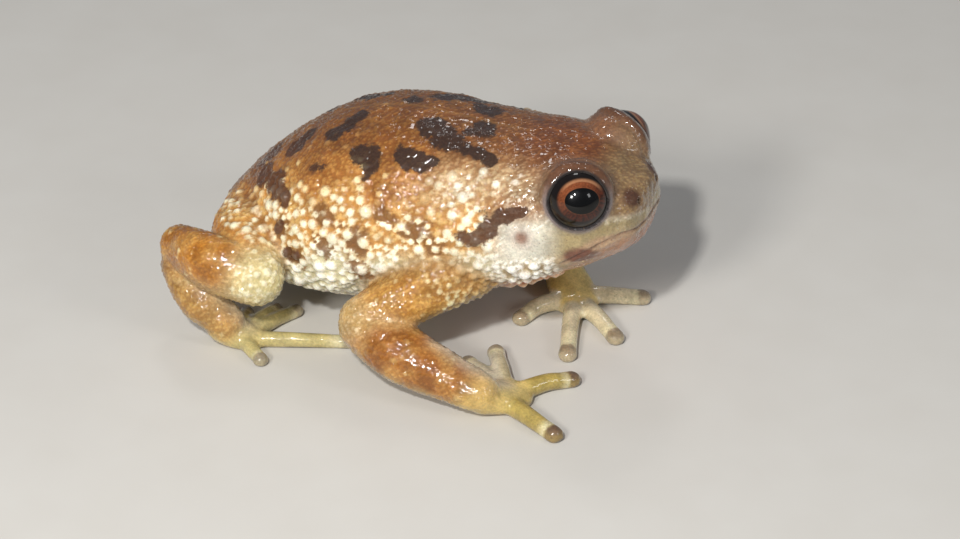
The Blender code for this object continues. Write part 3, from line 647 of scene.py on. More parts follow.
raised, wart_share, whose = domes(places)
ripple = 0.05 * waves(places, 2.2, 8) * (1 - is_hand) * ramp(LID_EDGE + 0.1, LID_EDGE + 0.4, lid_angle)
sunk = 0.14 * (1 - is_limb) * (1 - head_front) * wart_rise / 0.7
shaped = places + normals * (raised + ripple - sunk)[:, None]
shaped[:, 2] = np.maximum(shaped[:, 2], 0.0)
write_skin(shaped)
skin.data.polygons.foreach_set("use_smooth", np.ones(len(skin.data.polygons), bool))
print("highest wart in mm:", round(float(raised.max()), 2))

# %% [markdown]
# ## Colours by place
# The colour of a frog is a map: bronze brown on the back, cream low on the flanks, ochre on
# the limbs, olive yellow on the digits with brown ends. It is mixed per point in three
# layers: the ground between the warts, the plain warts and the pale ones, since some warts
# stay as brown as the skin and others turn white. The material adds what is finer.

# %% From a hex colour to linear light
def linear(code):
    """Linear RGB of an sRGB hex colour: ((c + 0.055) / 1.055)^2.4 above 0.04045."""
    value = np.array([int(code[k : k + 2], 16) for k in (1, 3, 5)]) / 255
    return np.where(value > 0.04045, ((value + 0.055) / 1.055) ** 2.4, value / 12.92)


def paint(base, code, share):
    """Mixes a colour over a base by a share from 0 to 1 per point."""
    share = np.clip(share, 0, 1)[:, None]
    return base * (1 - share) + linear(code) * share


# %% Three layers: the ground, plain warts and pale warts
layers = [np.zeros((len(places), 3)) for _ in range(3)]


def tint(share, *codes):
    """Paints a share of the skin in all three layers. A single code serves them all."""
    for layer, code in zip(layers, codes * (3 // len(codes))):
        layer[:] = paint(layer, code, share)


# %% The trunk
back_side, back_top = ramp(18, 42, around), ramp(42, 66, around)
low_flank = (1 - ramp(-14, 10, round_angle + 8 * wander)) * (1 - is_back)
nape = is_back * ramp(-13.5, -8.0, x)
throat = ramp(-6.5, -3.5, x) * (1 - ramp(-54, -30, round_angle))
tint(np.ones(len(places)), "#bd8642", "#d5ab66", "#fcf2cf")
tint(back_side, "#9a6129", "#b57f3e", "#e9cd92")
tint(back_top, "#79471c", "#90602c", "#c8975a")
tint(is_back * ramp(0.1, 0.9, wander) * 0.7, "#6b3d1a", "#875426", "#c08c4e")
tint(nape * (1 - near_neck) * 0.7, "#6f411d", "#8a5830", "#b98a54")
tint(low_flank, "#cfc59c", "#e6dfbe", "#fbf8e8")
tint(is_under, "#b3a27c", "#cfc096", "#e6dcbc")

# %% The head
head_top = head_front * ramp(20, 36, round_angle + 5 * wander)
cheek = head_front - head_top
cheek_front = ramp(-2.6, 0.0, x)
tint(head_top, "#6e3b18", "#885126", "#a87444")
tint(head_top * is_snout, "#806444", "#987c54", "#b0936c")
tint(near_neck * 0.85, "#a88660", "#c8b08a", "#f2e9d4")
tint(cheek, "#d6d0be", "#e4dfcf", "#f0ecdf")
tint(cheek * cheek_front, "#99875f", "#a99876", "#c0b192")
tint(is_jawline * 0.9, "#9c835a", "#e9e0c8", "#fbf8ee")
tint(throat, "#a8623a", "#b8784c", "#d0a07a")
tint(ramp(-15, -11, x) * (1 - ramp(-46, -30, round_angle)) * 0.8, "#b85e24", "#c8763a", "#dcae80")

# %% Lips, nose and lids
side_x = np.where(from_mouth < 9, from_mouth, 9)
lip = np.exp(-((side_x / 0.55) ** 2)) * at_mouth
mouth_height = np.interp(x, MOUTH_LINE[::-1, 0], MOUTH_LINE[::-1, 1])
jaw_side = ramp(-1.5, 0.5, x) * (z < 13.6) * (1 - ramp(0.2, 0.9, z - mouth_height))
corner = np.linalg.norm((places[:, [0, 2]] - (0.75, 12.05)) / (1.15, 0.72), axis=1)
nose_patch = distance_to_nearest(*((3.6, side * 2.4, 15.9) for side in SIDES.values()))
nostril_shade_distance = distance_to_nearest(*NOSTRIL.values())
eardrum = distance_to_nearest(*((-3.5, side * 7.0, 13.2) for side in SIDES.values()))
upper_lid = (1 - ramp(LID_EDGE + 0.30, LID_EDGE + 0.52, lid_angle)) * lid_above
lower_lid = (1 - ramp(LID_EDGE + 0.12, LID_EDGE + 0.26, lid_angle)) * (1 - lid_above)
eye_edge = 1 - ramp(LID_EDGE - 0.01, LID_EDGE + 0.09, lid_angle)
tint(jaw_side * 0.8, "#a8765a")
tint(lip * 0.7, "#a89578")
tint(0.55 * np.exp(-((side_x / 0.13) ** 2)) * at_mouth, "#6b4634")
tint((1 - ramp(0.7, 1.25, corner)) * (np.abs(y) > 3) * 0.9, "#623525")
tint((1 - ramp(0.55, 1.10, nose_patch)) * 0.9, "#4a2b1e")
# Painted shade: each nostril pit is coloured near black, as the inside of an opening would look.
tint(1 - ramp(0.12, 0.34, nostril_shade_distance), "#2a1711")
tint((1 - ramp(0.7, 1.4, eardrum)) * 0.35, "#b59c90")
tint((1 - ramp(0.25, 0.80, eardrum)) * 0.85, "#7c5440")
far_up = ramp(14.6, 17.0, z) * (1 - ramp(2.9, 3.8, distance_to_nearest(*LID_CENTRE.values())))
tint(far_up * 0.5, "#7c5e48")
tint(upper_lid * 0.9, "#63402a")
tint(lower_lid, "#867a7a")
tint(eye_edge, "#16100e")

# %% Arms and legs
# Each limb piece: its distance, then the three colours.
limb_tones = (
    (from_arm, "#ae7b36", "#c99848", "#efe3b4"),
    (from_forearm, "#955a1c", "#a76c2c", "#c79a58"),
    (from_thigh, "#b26714", "#c97f24", "#e6d6a0"),
    (from_shank, "#a5681c", "#b97b28", "#dcc486"),
    (from_ankle, "#936a2c", "#ab8443", "#d8c690"),
)
for gap, *codes in limb_tones:
    others = np.minimum.reduce([other for other, *_ in limb_tones if other is not gap])
    tint(is_limb * ramp(-1.3, 1.3, others - gap), *codes)
patches = ramp(-0.5, 0.7, waves(places, 1.9, 41))
# Painted shade: the skin is darkened in the folds where the thigh meets the body and the ankle, and in the
# armpit.
painted_crease_shade = np.exp(-((np.maximum(np.abs(from_trunk), from_thigh) / 0.40) ** 2))
painted_armpit_shade = np.exp(-((np.maximum(np.abs(from_trunk), from_arm) / 0.80) ** 2))
painted_crease_shade = np.maximum(painted_crease_shade, np.exp(-((np.maximum(from_thigh, from_ankle) / 0.45) ** 2)))
below = (1 - ramp(-0.75, -0.05, normals[:, 2])) * is_limb
tint(is_limb * (1 - patches) * 0.35, "#824c16", "#955c22", "#c09050")
tint(is_limb * patches * 0.55, "#b98a48", "#c9a05c", "#eee2b0")
# Painted shade in the leg folds and the armpit.
tint(painted_crease_shade * 0.7, "#7c4c22", "#9a6a38", "#b98a50")
tint(painted_armpit_shade * 0.9, "#8f6229", "#a87c40", "#c9a468")
tint(is_knee * is_limb * 0.95, "#d2c38c", "#dcd19e", "#ece4c0")
tint((1 - ramp(0.8, 2.4, elbow)) * 0.6, "#c9a868", "#d8c08c", "#eee2b8")
tint(below * 0.55, "#b9a878")

# %% Hands, feet and digits
# The innermost two fingers of the hand and the skin at their base are nearly white, and a
# pale streak runs over the ankle and along the inner edge of the wrist. Behind x = -12 every
# digit is a toe.
PALE_FINGERS = np.array(((-8.0, -6.3, 0.6), (-4.9, -8.9, 1.2), (-6.6, -4.1, 0.6)))
ANKLE_STREAK = np.array(((-28.6, -9.4, 5.1), (-27.3, -9.5, 4.0), (-26.4, -9.4, 3.1), (-25.3, -9.2, 2.0)))
WRIST_STREAK = np.array(
    ((-8.6, -10.1, 4.9), (-7.2, -10.4, 4.3), (-5.9, -10.6, 3.7), (-4.6, -10.4, 2.8), (-4.0, -9.7, 1.7))
)
at_ankle = np.exp(-((from_line(to_right, ANKLE_STREAK) / 1.15) ** 2)) * (from_ankle < from_thigh)
at_wrist = np.exp(-((from_line(places, WRIST_STREAK) / 0.95) ** 2))
tip = ramp(0.80, 0.88, digit_along) * is_digit
band = ramp(0.52, 0.74, digit_along) * (1 - ramp(0.78, 0.86, digit_along)) * is_digit
hand_share = ramp(np.where(x < -20, -0.3, -1.6), 0.6, past_wrist)
pale_finger = np.exp(-((from_line(places, PALE_FINGERS) / 1.1) ** 2)) * (from_forearm > 0.1)
pale_finger = np.maximum(pale_finger, 0.6 * is_digit * (y > -3.4) * (x > -10))
tint(hand_share, "#cdb36c")
tint(hand_share * (x < -20) * 0.7, "#d0c084")
tint(is_digit, "#ac9652")
tint(is_digit * (x < -12) * 0.8, "#c2b47c")
tint(at_ankle * 0.75, "#d6c6a8", "#e0d2b6", "#efe6d2")
tint(at_wrist * 0.75, "#dccdb2", "#e4d8c2", "#f2ecdd")
tint(pale_finger * 0.85, "#e4dbc4")
tint(band * 0.75, "#d8cea6")
# The brown of each tip is painted deeper where the surface faces up: painted shading by facing.
tint(tip * (1 - 0.5 * pale_finger) * (0.6 + 0.4 * ramp(0.3, 0.9, normals[:, 2])), "#6d5641")
tint(tip * (x < -12) * 0.55, "#b3a98f")
ground, plain, pale = layers
# Warts in the armpit are also painted less pale, as part of the painted shade there.
pale_share = wart_pale[whose] * (1 - 0.8 * painted_armpit_shade)
caps = plain + (pale - plain) * (pale_share * ramp(0.10, 0.55, wart_share))[:, None]

# %% [markdown]
# ## Dark blotches
# Behind the head a chain of near-black blotches crosses the back, fainter brown ones run
# down the flank, and a dark streak leaves the rear edge of the eye. Each blotch is
# a place and a reach, and a field that falls from 1 at its middle lets the material cut
# an irregular edge out of it.

# %% Blotches, repeated on the far side
# Place, reach and strength. The far side isn't seen, so it repeats them a little moved.
BLOTCHES = (
    (-12.6, -2.3, 18.5, 1.15, 1.0), (-11.6, -2.9, 18.4, 1.15, 1.0), (-10.5, -3.3, 18.2, 0.95, 1.0),
    (-9.3, -3.7, 18.1, 0.75, 1.0), (-8.2, -3.9, 17.9, 0.80, 1.0), (-7.4, -4.1, 17.7, 0.75, 1.0),
    (-8.9, -1.2, 18.5, 1.05, 1.0), (-9.8, -1.9, 18.4, 0.70, 0.9), (-13.4, -5.3, 16.9, 1.05, 0.95),
    (-12.2, -5.4, 17.0, 1.00, 0.95), (-11.4, -5.0, 17.2, 0.60, 0.9), (-16.9, -5.4, 16.7, 1.25, 0.9),
    (-16.2, -6.1, 16.1, 0.95, 0.85), (-16.1, -6.9, 15.4, 0.70, 0.7), (-20.4, -3.2, 16.6, 0.85, 1.0),
    (-19.6, -2.5, 17.1, 0.95, 1.0), (-18.8, -1.7, 17.5, 0.80, 1.0), (-23.9, -2.9, 14.6, 0.95, 1.0),
    (-23.2, -2.0, 15.2, 0.80, 1.0), (-26.9, -1.6, 12.5, 1.20, 1.0), (-26.2, -3.9, 12.2, 1.15, 1.0),
    (-24.6, -5.5, 12.6, 1.15, 1.0), (-23.4, -7.7, 10.4, 0.62, 1.0), (-21.6, -8.6, 8.3, 0.78, 0.9),
    (-23.9, -6.3, 12.2, 0.95, 0.9), (-22.9, -7.0, 12.2, 0.90, 0.85),
    (-20.6, -5.9, 15.0, 1.20, 0.6), (-19.8, -6.6, 14.4, 0.80, 0.55), (-15.4, 1.0, 18.5, 1.00, 0.8),
    (-22.9, 1.9, 15.6, 0.95, 0.8), (-18.2, 2.4, 17.4, 0.80, 0.8),
)
STAINS = (
    (-19.1, -8.3, 12.4, 1.15, 0.8), (-14.0, -8.3, 13.2, 1.05, 0.75), (-23.1, -7.8, 10.3, 0.85, 1.0),
    (-11.4, -8.0, 12.4, 1.25, 0.85), (-12.6, -8.2, 12.7, 0.90, 0.7), (-16.1, -8.9, 10.9, 1.35, 0.8),
    (-18.8, -9.1, 9.9, 1.10, 0.8), (-15.9, -8.9, 8.5, 1.10, 0.85), (-21.4, -8.6, 8.1, 1.20, 0.75),
    (-17.6, -9.0, 12.0, 0.80, 0.6), (-10.0, -7.9, 11.4, 0.90, 0.7), (-13.2, -8.6, 10.2, 0.90, 0.45),
    (-6.3, -6.6, 16.0, 0.70, 0.5), (-21.6, -8.2, 13.0, 0.80, 0.6),
)
STREAK = np.array(((-2.9, -6.3, 15.7), (-4.2, -6.6, 14.9), (-5.5, -6.9, 13.9), (-7.2, -7.4, 12.4)))
TO_OTHER_SIDE = np.array((1.0, -1.0, 1.0))


def reach_of(spots, points):
    """The largest strength times (1 - d / (2 reach)) over all spots, cut off at 0."""
    field = np.zeros(len(points))
    for *centre, reach, strength in spots:
        field = np.maximum(field, strength * (1 - np.linalg.norm(points - centre, axis=1) / (2 * reach)))
    return field


moved = places + np.stack([waves(places, 3.0, 20 + k) for k in range(3)], axis=-1) * 0.35
mirror = moved * TO_OTHER_SIDE + np.array((0.8, 0.4, 0.0))
blotch = 1.08 * np.maximum(reach_of(BLOTCHES, moved), reach_of([s for s in BLOTCHES if s[1] < -1], mirror))
stain = 1.25 * np.maximum(reach_of(STAINS, moved), reach_of(STAINS, mirror))
for streak_side in (moved, moved * TO_OTHER_SIDE):
    along_streak = from_line(streak_side, STREAK)
    narrowing = np.interp(streak_side[:, 0], (-7.5, -3.0), (2.4, 0.9)) * (1 + 0.5 * waves(places, 1.2, 51))
    blotch = np.maximum(blotch, 0.9 * (1 - along_streak / narrowing))
pigment = np.tile(linear("#33221a"), (len(places), 1))
pigment = paint(pigment, "#432716", ramp(21.0, 26.0, -x))
pigment = paint(pigment, "#54311c", 1 - ramp(12.5, 16.0, z))
pigment = paint(pigment, "#4d2d17", head_front)
blotch *= 1 - is_limb
stain *= (1 - is_limb) * (1 - 0.45 * pale_share * ramp(0.1, 0.6, wart_share))
midline = np.exp(-(((y + 0.12 * waves(places, 6.0, 31)) / 0.14) ** 2))
midline *= is_back * ramp(-30, -26, x) * (1 - ramp(-7, -4, x))
speckle = cheek * (1 - is_jawline) + 0.35 * low_flank * (1 - is_limb)
print("share of skin under blotches:", round(float((blotch > 0.5).mean()), 3))

# %% Keep the fields on the mesh
def keep_number(name, values):
    """One number per point, for the material to read by name."""
    layer = skin.data.attributes.new(name, "FLOAT", "POINT")
    layer.data.foreach_set("value", values.astype(np.float32))


def keep_colour(name, values):
    """One linear colour per point, for the material to read by name."""
    layer = skin.data.attributes.new(name, "FLOAT_COLOR", "POINT")
    with_alpha = np.hstack([values, np.ones((len(values), 1))])
    layer.data.foreach_set("color", with_alpha.astype(np.float32).ravel())


keep_colour("ground", ground)
keep_colour("caps", caps)
keep_colour("pigment", pigment)
keep_number("wart", wart_share)
keep_number("blotch", blotch)
keep_number("stain", stain)
keep_number("midline", midline)
keep_number("speckle", np.clip(speckle, 0, 1))
keep_number("grain", np.clip(1 - is_hand * 0.7 - eye_edge, 0, 1))

# %% [markdown]
# ## Moist frog skin
# Frog skin is thin, living and wet: light goes a little way in, which softens the pale
# warts and the fingertips, and a film of mucus on top gives small sharp highlights. So the
# material is a rough coloured body with slight subsurface scattering under a clear coat.

# %% A helper that adds a node
def add(tree, kind, inputs=(), output=0, **settings):
    """Adds a shader node with its settings, fills its sockets and gives one of its outputs.

    The inputs go to the sockets in order, or by number or name where they are a dict. Each is
    a link, a plain value or a hex code. With output None the node itself comes back.
    """
    node = tree.nodes.new("ShaderNode" + kind)
    for name, value in settings.items():
        setattr(node, name, value)
    by_socket = inputs if isinstance(inputs, dict) else dict(enumerate(inputs))
    for socket, value in by_socket.items():
        if isinstance(value, bpy.types.NodeSocket):
            tree.links.new(value, node.inputs[socket])
        else:
            plain = (*linear(value), 1) if isinstance(value, str) else value
            node.inputs[socket].default_value = plain
    return node if output is None else node.outputs[output]


def per(size_mm):
    """Pattern scale for features of that size: object coordinates are in metres."""
    return 1 / (size_mm * MM)


def new_material(name):
    """An empty node material with its shader and output joined."""
    material = bpy.data.materials.new(name)
    material.use_nodes = True
    tree = material.node_tree
    tree.nodes.clear()
    shader = add(tree, "BsdfPrincipled", output=None)
    add(tree, "OutputMaterial", {"Surface": shader.outputs["BSDF"]}, output=None)
    return material, tree, shader


# Settings that many nodes share. A mix of colours reads the sockets 0, 6 and 7.
MINUS, TIMES, TIMES_PLUS = (
    {"operation": operation} for operation in ("SUBTRACT", "MULTIPLY", "MULTIPLY_ADD")
)
SMOOTH = {"interpolation_type": "SMOOTHSTEP"}
COLOURS = {"data_type": "RGBA", "output": 2}

# %% The colour of the skin
skin_material, tree, shader = new_material("moist_warty_skin")
where = add(tree, "TexCoord", output="Object")
# What was kept on the skin's points: six numbers and three colours.
field = {
    name: add(tree, "Attribute", output="Fac", attribute_name=name)
    for name in ("wart", "stain", "blotch", "midline", "speckle", "grain")
}
for name in ("ground", "caps", "pigment"):
    field[name] = add(tree, "Attribute", output="Color", attribute_name=name)

# Mottling 1.5 mm wide, rough edges of 0.7 mm, pigment grains of 0.18 mm, cells of 0.3 mm.
mottle = add(tree, "TexNoise", {"Vector": where, "Scale": per(1.5), "Detail": 3.0, "Roughness": 0.6}, "Fac")
edging = add(tree, "TexNoise", {"Vector": where, "Scale": per(0.7), "Detail": 4.0, "Roughness": 0.65}, "Fac")
grains = add(tree, "TexNoise", {"Vector": where, "Scale": per(0.18), "Detail": 2.0, "Roughness": 0.6}, "Fac")
cells = add(tree, "TexVoronoi", {"Vector": where, "Scale": per(0.30), "Randomness": 1.0}, "Distance")

grainy_wart = add(tree, "Math", (grains, 0.4, field["wart"]), **TIMES_PLUS)
cap_share = add(tree, "MapRange", (grainy_wart, 0.20, 1.00), **SMOOTH)
body_colour = add(tree, "Mix", {0: cap_share, 6: field["ground"], 7: field["caps"]}, **COLOURS)
shade = add(tree, "MapRange", (mottle, 0.30, 0.70, 0.78, 1.14), **SMOOTH)
shaded = add(tree, "VectorMath", {0: body_colour, "Scale": shade}, operation="SCALE")

# Stains and blotches end in a rough edge: their field plus noise about zero, cut by a step.
coarse = add(tree, "Math", (edging, 0.7, -0.5), **TIMES_PLUS)
rough_edge = add(tree, "Math", (grains, 0.3, coarse), **TIMES_PLUS)
stain_edge = add(tree, "Math", (rough_edge, 0.9, field["stain"]), **TIMES_PLUS)
stain_share = add(tree, "MapRange", (stain_edge, 0.38, 0.60, 0.0, 0.85), **SMOOTH)
stained = add(tree, "Mix", {0: stain_share, 6: shaded, 7: "#74491f"}, **COLOURS)
blotch_edge = add(tree, "Math", (rough_edge, 0.8, field["blotch"]), **TIMES_PLUS)
blotch_share = add(tree, "MapRange", (blotch_edge, 0.42, 0.58, 0.0, 0.94), **SMOOTH)
blotched = add(tree, "Mix", {0: blotch_share, 6: stained, 7: field["pigment"]}, **COLOURS)
line_share = add(tree, "Math", (field["midline"], 0.35), **TIMES)
lined = add(tree, "Mix", {0: line_share, 6: blotched, 7: "#a87c44"}, **COLOURS)

dots = add(tree, "MapRange", (cells, 0.10, 0.26, 0.42, 0.0), **SMOOTH)
dot_share = add(tree, "Math", (dots, field["speckle"]), **TIMES)
speckled = add(tree, "Mix", {0: dot_share, 6: lined, 7: "#6a5242"}, **COLOURS)
grain_shade = add(tree, "MapRange", (grains, 0.30, 0.70, 0.86, 1.12), **SMOOTH)
finished = add(tree, "VectorMath", {0: speckled, "Scale": grain_shade}, operation="SCALE")
tree.links.new(finished, shader.inputs["Base Color"])

# %% The film of moisture and the finest grain
# Under the film the skin itself is dull, and a little uneven.
dullness = add(tree, "MapRange", (edging, 0.35, 0.65, 0.40, 0.60), **SMOOTH)
tree.links.new(dullness, shader.inputs["Roughness"])
finest = add(tree, "Math", (grains, 0.6), **TIMES)
fine = add(tree, "Math", (cells, 0.8, finest), **TIMES_PLUS)
relief = add(tree, "Math", (fine, field["grain"]), **TIMES)
bump = add(tree, "Bump", {"Strength": 0.35, "Distance": 0.06 * MM, "Height": relief}, "Normal")
tree.links.new(bump, shader.inputs["Normal"])
# Mucus stands in shallow drops about 0.7 mm across, 1 - d^2 high, and each carries a glint.
drops = add(tree, "TexVoronoi", {"Vector": where, "Scale": per(0.68), "Randomness": 1.0}, "Distance")
puddles = add(tree, "MapRange", (mottle, 0.42, 0.60, 0.50, 1.0), **SMOOTH)
squared = add(tree, "Math", (drops, drops), **TIMES)
domed = add(tree, "Math", (1.0, squared), **MINUS)
film = add(tree, "Math", (domed, puddles), **TIMES)
film_height = add(tree, "Math", (film, field["grain"]), **TIMES)
film_bump = add(tree, "Bump", {"Strength": 1.0, "Distance": 0.17 * MM, "Height": film_height}, "Normal")
tree.links.new(film_bump, shader.inputs["Coat Normal"])
shader.inputs["IOR"].default_value = 1.40
shader.inputs["Specular IOR Level"].default_value = 0.25
shader.inputs["Coat Weight"].default_value = 1.0
shader.inputs["Coat Roughness"].default_value = 0.05
shader.inputs["Coat IOR"].default_value = 1.50
shader.inputs["Subsurface Weight"].default_value = 0.12
shader.inputs["Subsurface Radius"].default_value = (1.0, 0.45, 0.25)
shader.inputs["Subsurface Scale"].default_value = 0.5 * MM
skin.data.materials.clear()
skin.data.materials.append(skin_material)
flesh = [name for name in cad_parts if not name.startswith("eye")]
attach(skin, "root")
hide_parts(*flesh)
print("skin stands for", len(flesh), "solids")

# %% [markdown]
# ## The eyes
# The eye is a wet ball with a clear bulge over the iris. The iris is dark copper with
# radial threads and painted light on its upper side, and the pupil is a wide dark oval. The
# ball is a surface of two angles about the line of sight, and it keeps its own flat
# coordinates across and up the iris, so that the pattern looks where the eye looks.

# %% An eyeball about its line of sight
# A hair is taken off the radius, so that the lid closes over the ball. The middle of the iris
# lies a little forward of the gaze, and the flat coordinates count from there.
BALL_RADIUS, CORNEA_BULGE, IRIS_FORWARD = EYE_RADIUS - 0.02, 0.14, 0.22


def eyeball(word, rings=72, sides=96):
    """Centre + r (sin b cos a across + sin b sin a up + cos b gaze), r = R + bulge e^-(b/0.55)^4."""
    gaze = GAZE[word]
    across = unit(np.cross((0, 0, 1.0), gaze))
    upward = np.cross(gaze, across)
    b = np.linspace(0, math.pi, rings + 2)[1:-1, None]
    a = np.linspace(0, 2 * math.pi, sides, endpoint=False)[None, :]
    radius = BALL_RADIUS + CORNEA_BULGE * np.exp(-((b / 0.55) ** 4))
    flat = np.stack([np.sin(b) * np.cos(a), np.sin(b) * np.sin(a), np.cos(b) + 0 * a], axis=-1)
    flat = flat * radius[..., None]
    turn = np.stack([across, upward, gaze])
    centre = LID_CENTRE[word] + gaze * EYE_FORWARD
    front, rear = np.array((0, 0, radius[0, 0])), np.array((0, 0, -BALL_RADIUS))
    points, faces = closed_rings(flat @ turn + centre, front @ turn + centre, rear @ turn + centre)
    flat_places = np.vstack([flat.reshape(-1, 3), front, rear]) * (-SIDES[word], 1, 1)
    return points, faces, flat_places - (IRIS_FORWARD, 0, 0)


# %% [markdown]
# ## Iris, pupil and cornea
# A cornea is a clear, smooth, wet layer with an index of 1.376, so it is the coat of the
# material. The threads of the iris are noise stretched along the radius. All sizes
# are in millimetres on the flat coordinates.

# %% The eye's material
eye_material, tree, shader = new_material("wet_copper_eye")
flat = add(tree, "Attribute", output="Vector", attribute_name="flat")
parts = add(tree, "SeparateXYZ", (flat,), None).outputs
round_way = add(tree, "Math", (parts[1], parts[0]), operation="ARCTAN2")


def from_centre(stretch):
    """Distance from the middle of the iris, with the upward part times stretch."""
    level = add(tree, "Math", (parts[1], stretch), **TIMES)
    place = add(tree, "CombineXYZ", (parts[0], level))
    return add(tree, "VectorMath", (place,), "Value", operation="LENGTH")


from_middle, pupil_reach = from_centre(1.12), from_centre(1.30)
turned = add(tree, "Math", (round_way, 7.0), **TIMES)
outward = add(tree, "Math", (from_middle, 1.3), **TIMES)
thread_place = add(tree, "CombineXYZ", (turned, outward, parts[2]))
thread_values = {"Vector": thread_place, "Scale": 1.6, "Detail": 4.0, "Roughness": 0.6}
threads = add(tree, "TexNoise", thread_values, "Fac")
iris_mottle = add(tree, "TexNoise", {"Vector": flat, "Scale": 2.2, "Detail": 3.0}, "Fac")
iris_grain = add(tree, "TexNoise", {"Vector": flat, "Scale": 9.0, "Detail": 2.0}, "Fac")

# %% Copper threads with painted light above, a painted highlight arc, a dark edge and a dark pupil
thread_share = add(tree, "MapRange", (threads, 0.34, 0.66), **SMOOTH)
copper = add(tree, "Mix", {0: thread_share, 6: "#1e0b06", 7: "#4a1e0f"}, **COLOURS)
# Painted light: the iris is made lighter on its upper side, towards the lamps.
towards_light = add(tree, "Math", (parts[0], -0.5, parts[1]), **TIMES_PLUS)
uneven_light = add(tree, "Math", (iris_mottle, 0.9, towards_light), **TIMES_PLUS)
lit_above = add(tree, "MapRange", (uneven_light, -0.5, 2.3, 0.0, 0.85), **SMOOTH)
warm = add(tree, "Mix", {0: lit_above, 6: copper, 7: "#86492a"}, **COLOURS)
fleck_shade = add(tree, "MapRange", (iris_grain, 0.3, 0.7, 0.7, 1.25), **SMOOTH)
warmed = add(tree, "VectorMath", {0: warm, "Scale": fleck_shade}, operation="SCALE")
# Painted highlight: a thin pale arc along the upper edge of the iris.
outer_part = add(tree, "MapRange", (from_middle, 1.50, 1.60), **SMOOTH)
upper_part = add(tree, "MapRange", (parts[1], 0.5, 1.3, 0.0, 0.45), **SMOOTH)
highlight_arc_share = add(tree, "Math", (outer_part, upper_part), **TIMES)
highlight_arched = add(tree, "Mix", {0: highlight_arc_share, 6: warmed, 7: "#c09068"}, **COLOURS)
edge_share = add(tree, "MapRange", (from_middle, 1.64, 1.88), **SMOOTH)
edge_dark = add(tree, "Mix", {0: edge_share, 6: highlight_arched, 7: "#120c0a"}, **COLOURS)
rim_share = add(tree, "MapRange", (pupil_reach, 1.27, 1.36, 0.25, 0.0), **SMOOTH)
pupil_rim = add(tree, "Mix", {0: rim_share, 6: edge_dark, 7: "#8a5a38"}, **COLOURS)
pupil_share = add(tree, "MapRange", (pupil_reach, 1.24, 1.30, 1.0, 0.0), **SMOOTH)
pupilled = add(tree, "Mix", {0: pupil_share, 6: pupil_rim, 7: "#020202"}, **COLOURS)
tree.links.new(pupilled, shader.inputs["Base Color"])
eye_bump = add(tree, "Bump", {"Strength": 0.15, "Distance": 0.05 * MM, "Height": threads}, "Normal")
tree.links.new(eye_bump, shader.inputs["Normal"])
shader.inputs["Roughness"].default_value = 0.35
shader.inputs["Specular IOR Level"].default_value = 0.1
shader.inputs["IOR"].default_value = 1.376
shader.inputs["Coat Weight"].default_value = 1.0
shader.inputs["Coat Roughness"].default_value = 0.015
shader.inputs["Coat IOR"].default_value = 1.376

# %% Two eyes in place
for word in SIDES:
    points, faces, flat_places = eyeball(word)
    eye = mesh_object(f"eyeball_{word}", points, faces)
    layer = eye.data.attributes.new("flat", "FLOAT_VECTOR", "POINT")
    layer.data.foreach_set("vector", flat_places.astype(np.float32).ravel())
    face_outward(eye.data)
    eye.data.polygons.foreach_set("use_smooth", np.ones(len(eye.data.polygons), bool))
    eye.data.materials.append(eye_material)
    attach(eye, "root")
    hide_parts(f"eye_{word}")
    print(eye.name, len(eye.data.polygons), "faces")

# %% [markdown]
# ## Floor, light and camera
# The frog stands on a plain pale floor. A soft lamp left of the camera gives the form, one on
# the right fills the shade, one behind lights the far rim, and a very small one above the
# lens puts wet points on skin and eye.

# %% A pale floor
floor_mesh = bpy.data.meshes.new("floor")
FLOOR_REACH = 1.5
corners = np.array(((-1, -1, 0), (1, -1, 0), (1, 1, 0), (-1, 1, 0))) * FLOOR_REACH
floor_mesh.from_pydata(corners, [], [(0, 1, 2, 3)])
floor = bpy.data.objects.new("floor", floor_mesh)
bpy.context.scene.collection.objects.link(floor)
floor_material, tree, shader = new_material("matt_pale_board")
board_place = add(tree, "TexCoord", output="Object")
board = add(tree, "TexNoise", {"Vector": board_place, "Scale": per(6.0), "Detail": 2.0}, "Fac")
board_colour = add(tree, "Mix", {0: board, 6: "#c9c5bd", 7: "#cfccc5"}, **COLOURS)
tree.links.new(board_colour, shader.inputs["Base Color"])
shader.inputs["Roughness"].default_value = 0.85
floor_mesh.materials.append(floor_material)

# %% The camera, from the frog's front right and above
# The lens is 240 mm from the point between the eyes, which lies right of the middle.
BETWEEN_EYES, LENS_DISTANCE = np.array((0.0, 0.0, 16.0)), 240


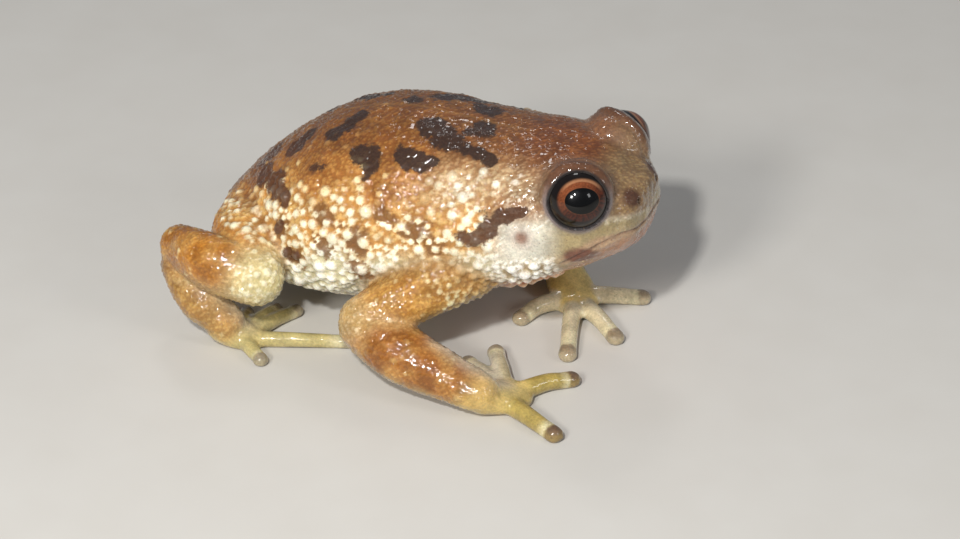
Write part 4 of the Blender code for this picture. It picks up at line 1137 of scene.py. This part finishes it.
def way_back(azimuth, elevation):
    """(sin a cos e, -cos a cos e, sin e): the direction from the frog towards a viewer."""
    a, e = math.radians(azimuth), math.radians(elevation)
    return np.array((math.sin(a) * math.cos(e), -math.cos(a) * math.cos(e), math.sin(e)))


camera_data = bpy.data.cameras.new("camera")
camera_data.sensor_width, camera_data.lens = 36.0, 120.46
camera_data.clip_start, camera_data.clip_end = 0.01, 10.0
camera = bpy.data.objects.new("camera", camera_data)
bpy.context.scene.collection.objects.link(camera)
camera.location = in_model(BETWEEN_EYES + way_back(20, 31) * LENS_DISTANCE)
camera.rotation_euler = Vector(-way_back(22.48, 32.79)).to_track_quat("-Z", "Y").to_euler()
bpy.context.scene.camera = camera

# %% Soft lamps and a pale room
MIDDLE_HEIGHT = 9


def lamp(name, azimuth, elevation, distance, size, power, colour=(1.0, 1.0, 1.0)):
    """A square lamp at distance along azimuth and elevation, turned to the frog's middle."""
    way = Vector(way_back(azimuth, elevation))
    data = bpy.data.lights.new(name, "AREA")
    data.size, data.energy, data.color = size, power, colour
    thing = bpy.data.objects.new(name, data)
    bpy.context.scene.collection.objects.link(thing)
    thing.location = way * distance + Vector((0, 0, MIDDLE_HEIGHT * MM))
    thing.rotation_euler = (-way).to_track_quat("-Z", "Y").to_euler()
    return thing


lamp("key_lamp", -4, 33, 0.30, 0.05, 0.40, (1.0, 0.98, 0.95))
lamp("fill_lamp", 80, 30, 0.35, 0.08, 0.15)
lamp("rim_lamp", 205, 55, 0.35, 0.06, 0.10)
lamp("point_lamp", 10, 44, 0.26, 0.014, 0.44)
world = bpy.data.worlds.new("pale_room")
bpy.context.scene.world = world
world.use_nodes = True
room = world.node_tree.nodes["Background"]
room.inputs["Color"].default_value = (0.86, 0.90, 1.0, 1)
room.inputs["Strength"].default_value = 0.22
bpy.context.scene.view_settings.view_transform = "Standard"

# %% [markdown]
# ## Finish
# The dressed frog has to stay as large as the model. The last step brings the
# view layer up to date.

# %% Bring the scene up to date
bpy.context.view_layer.update()
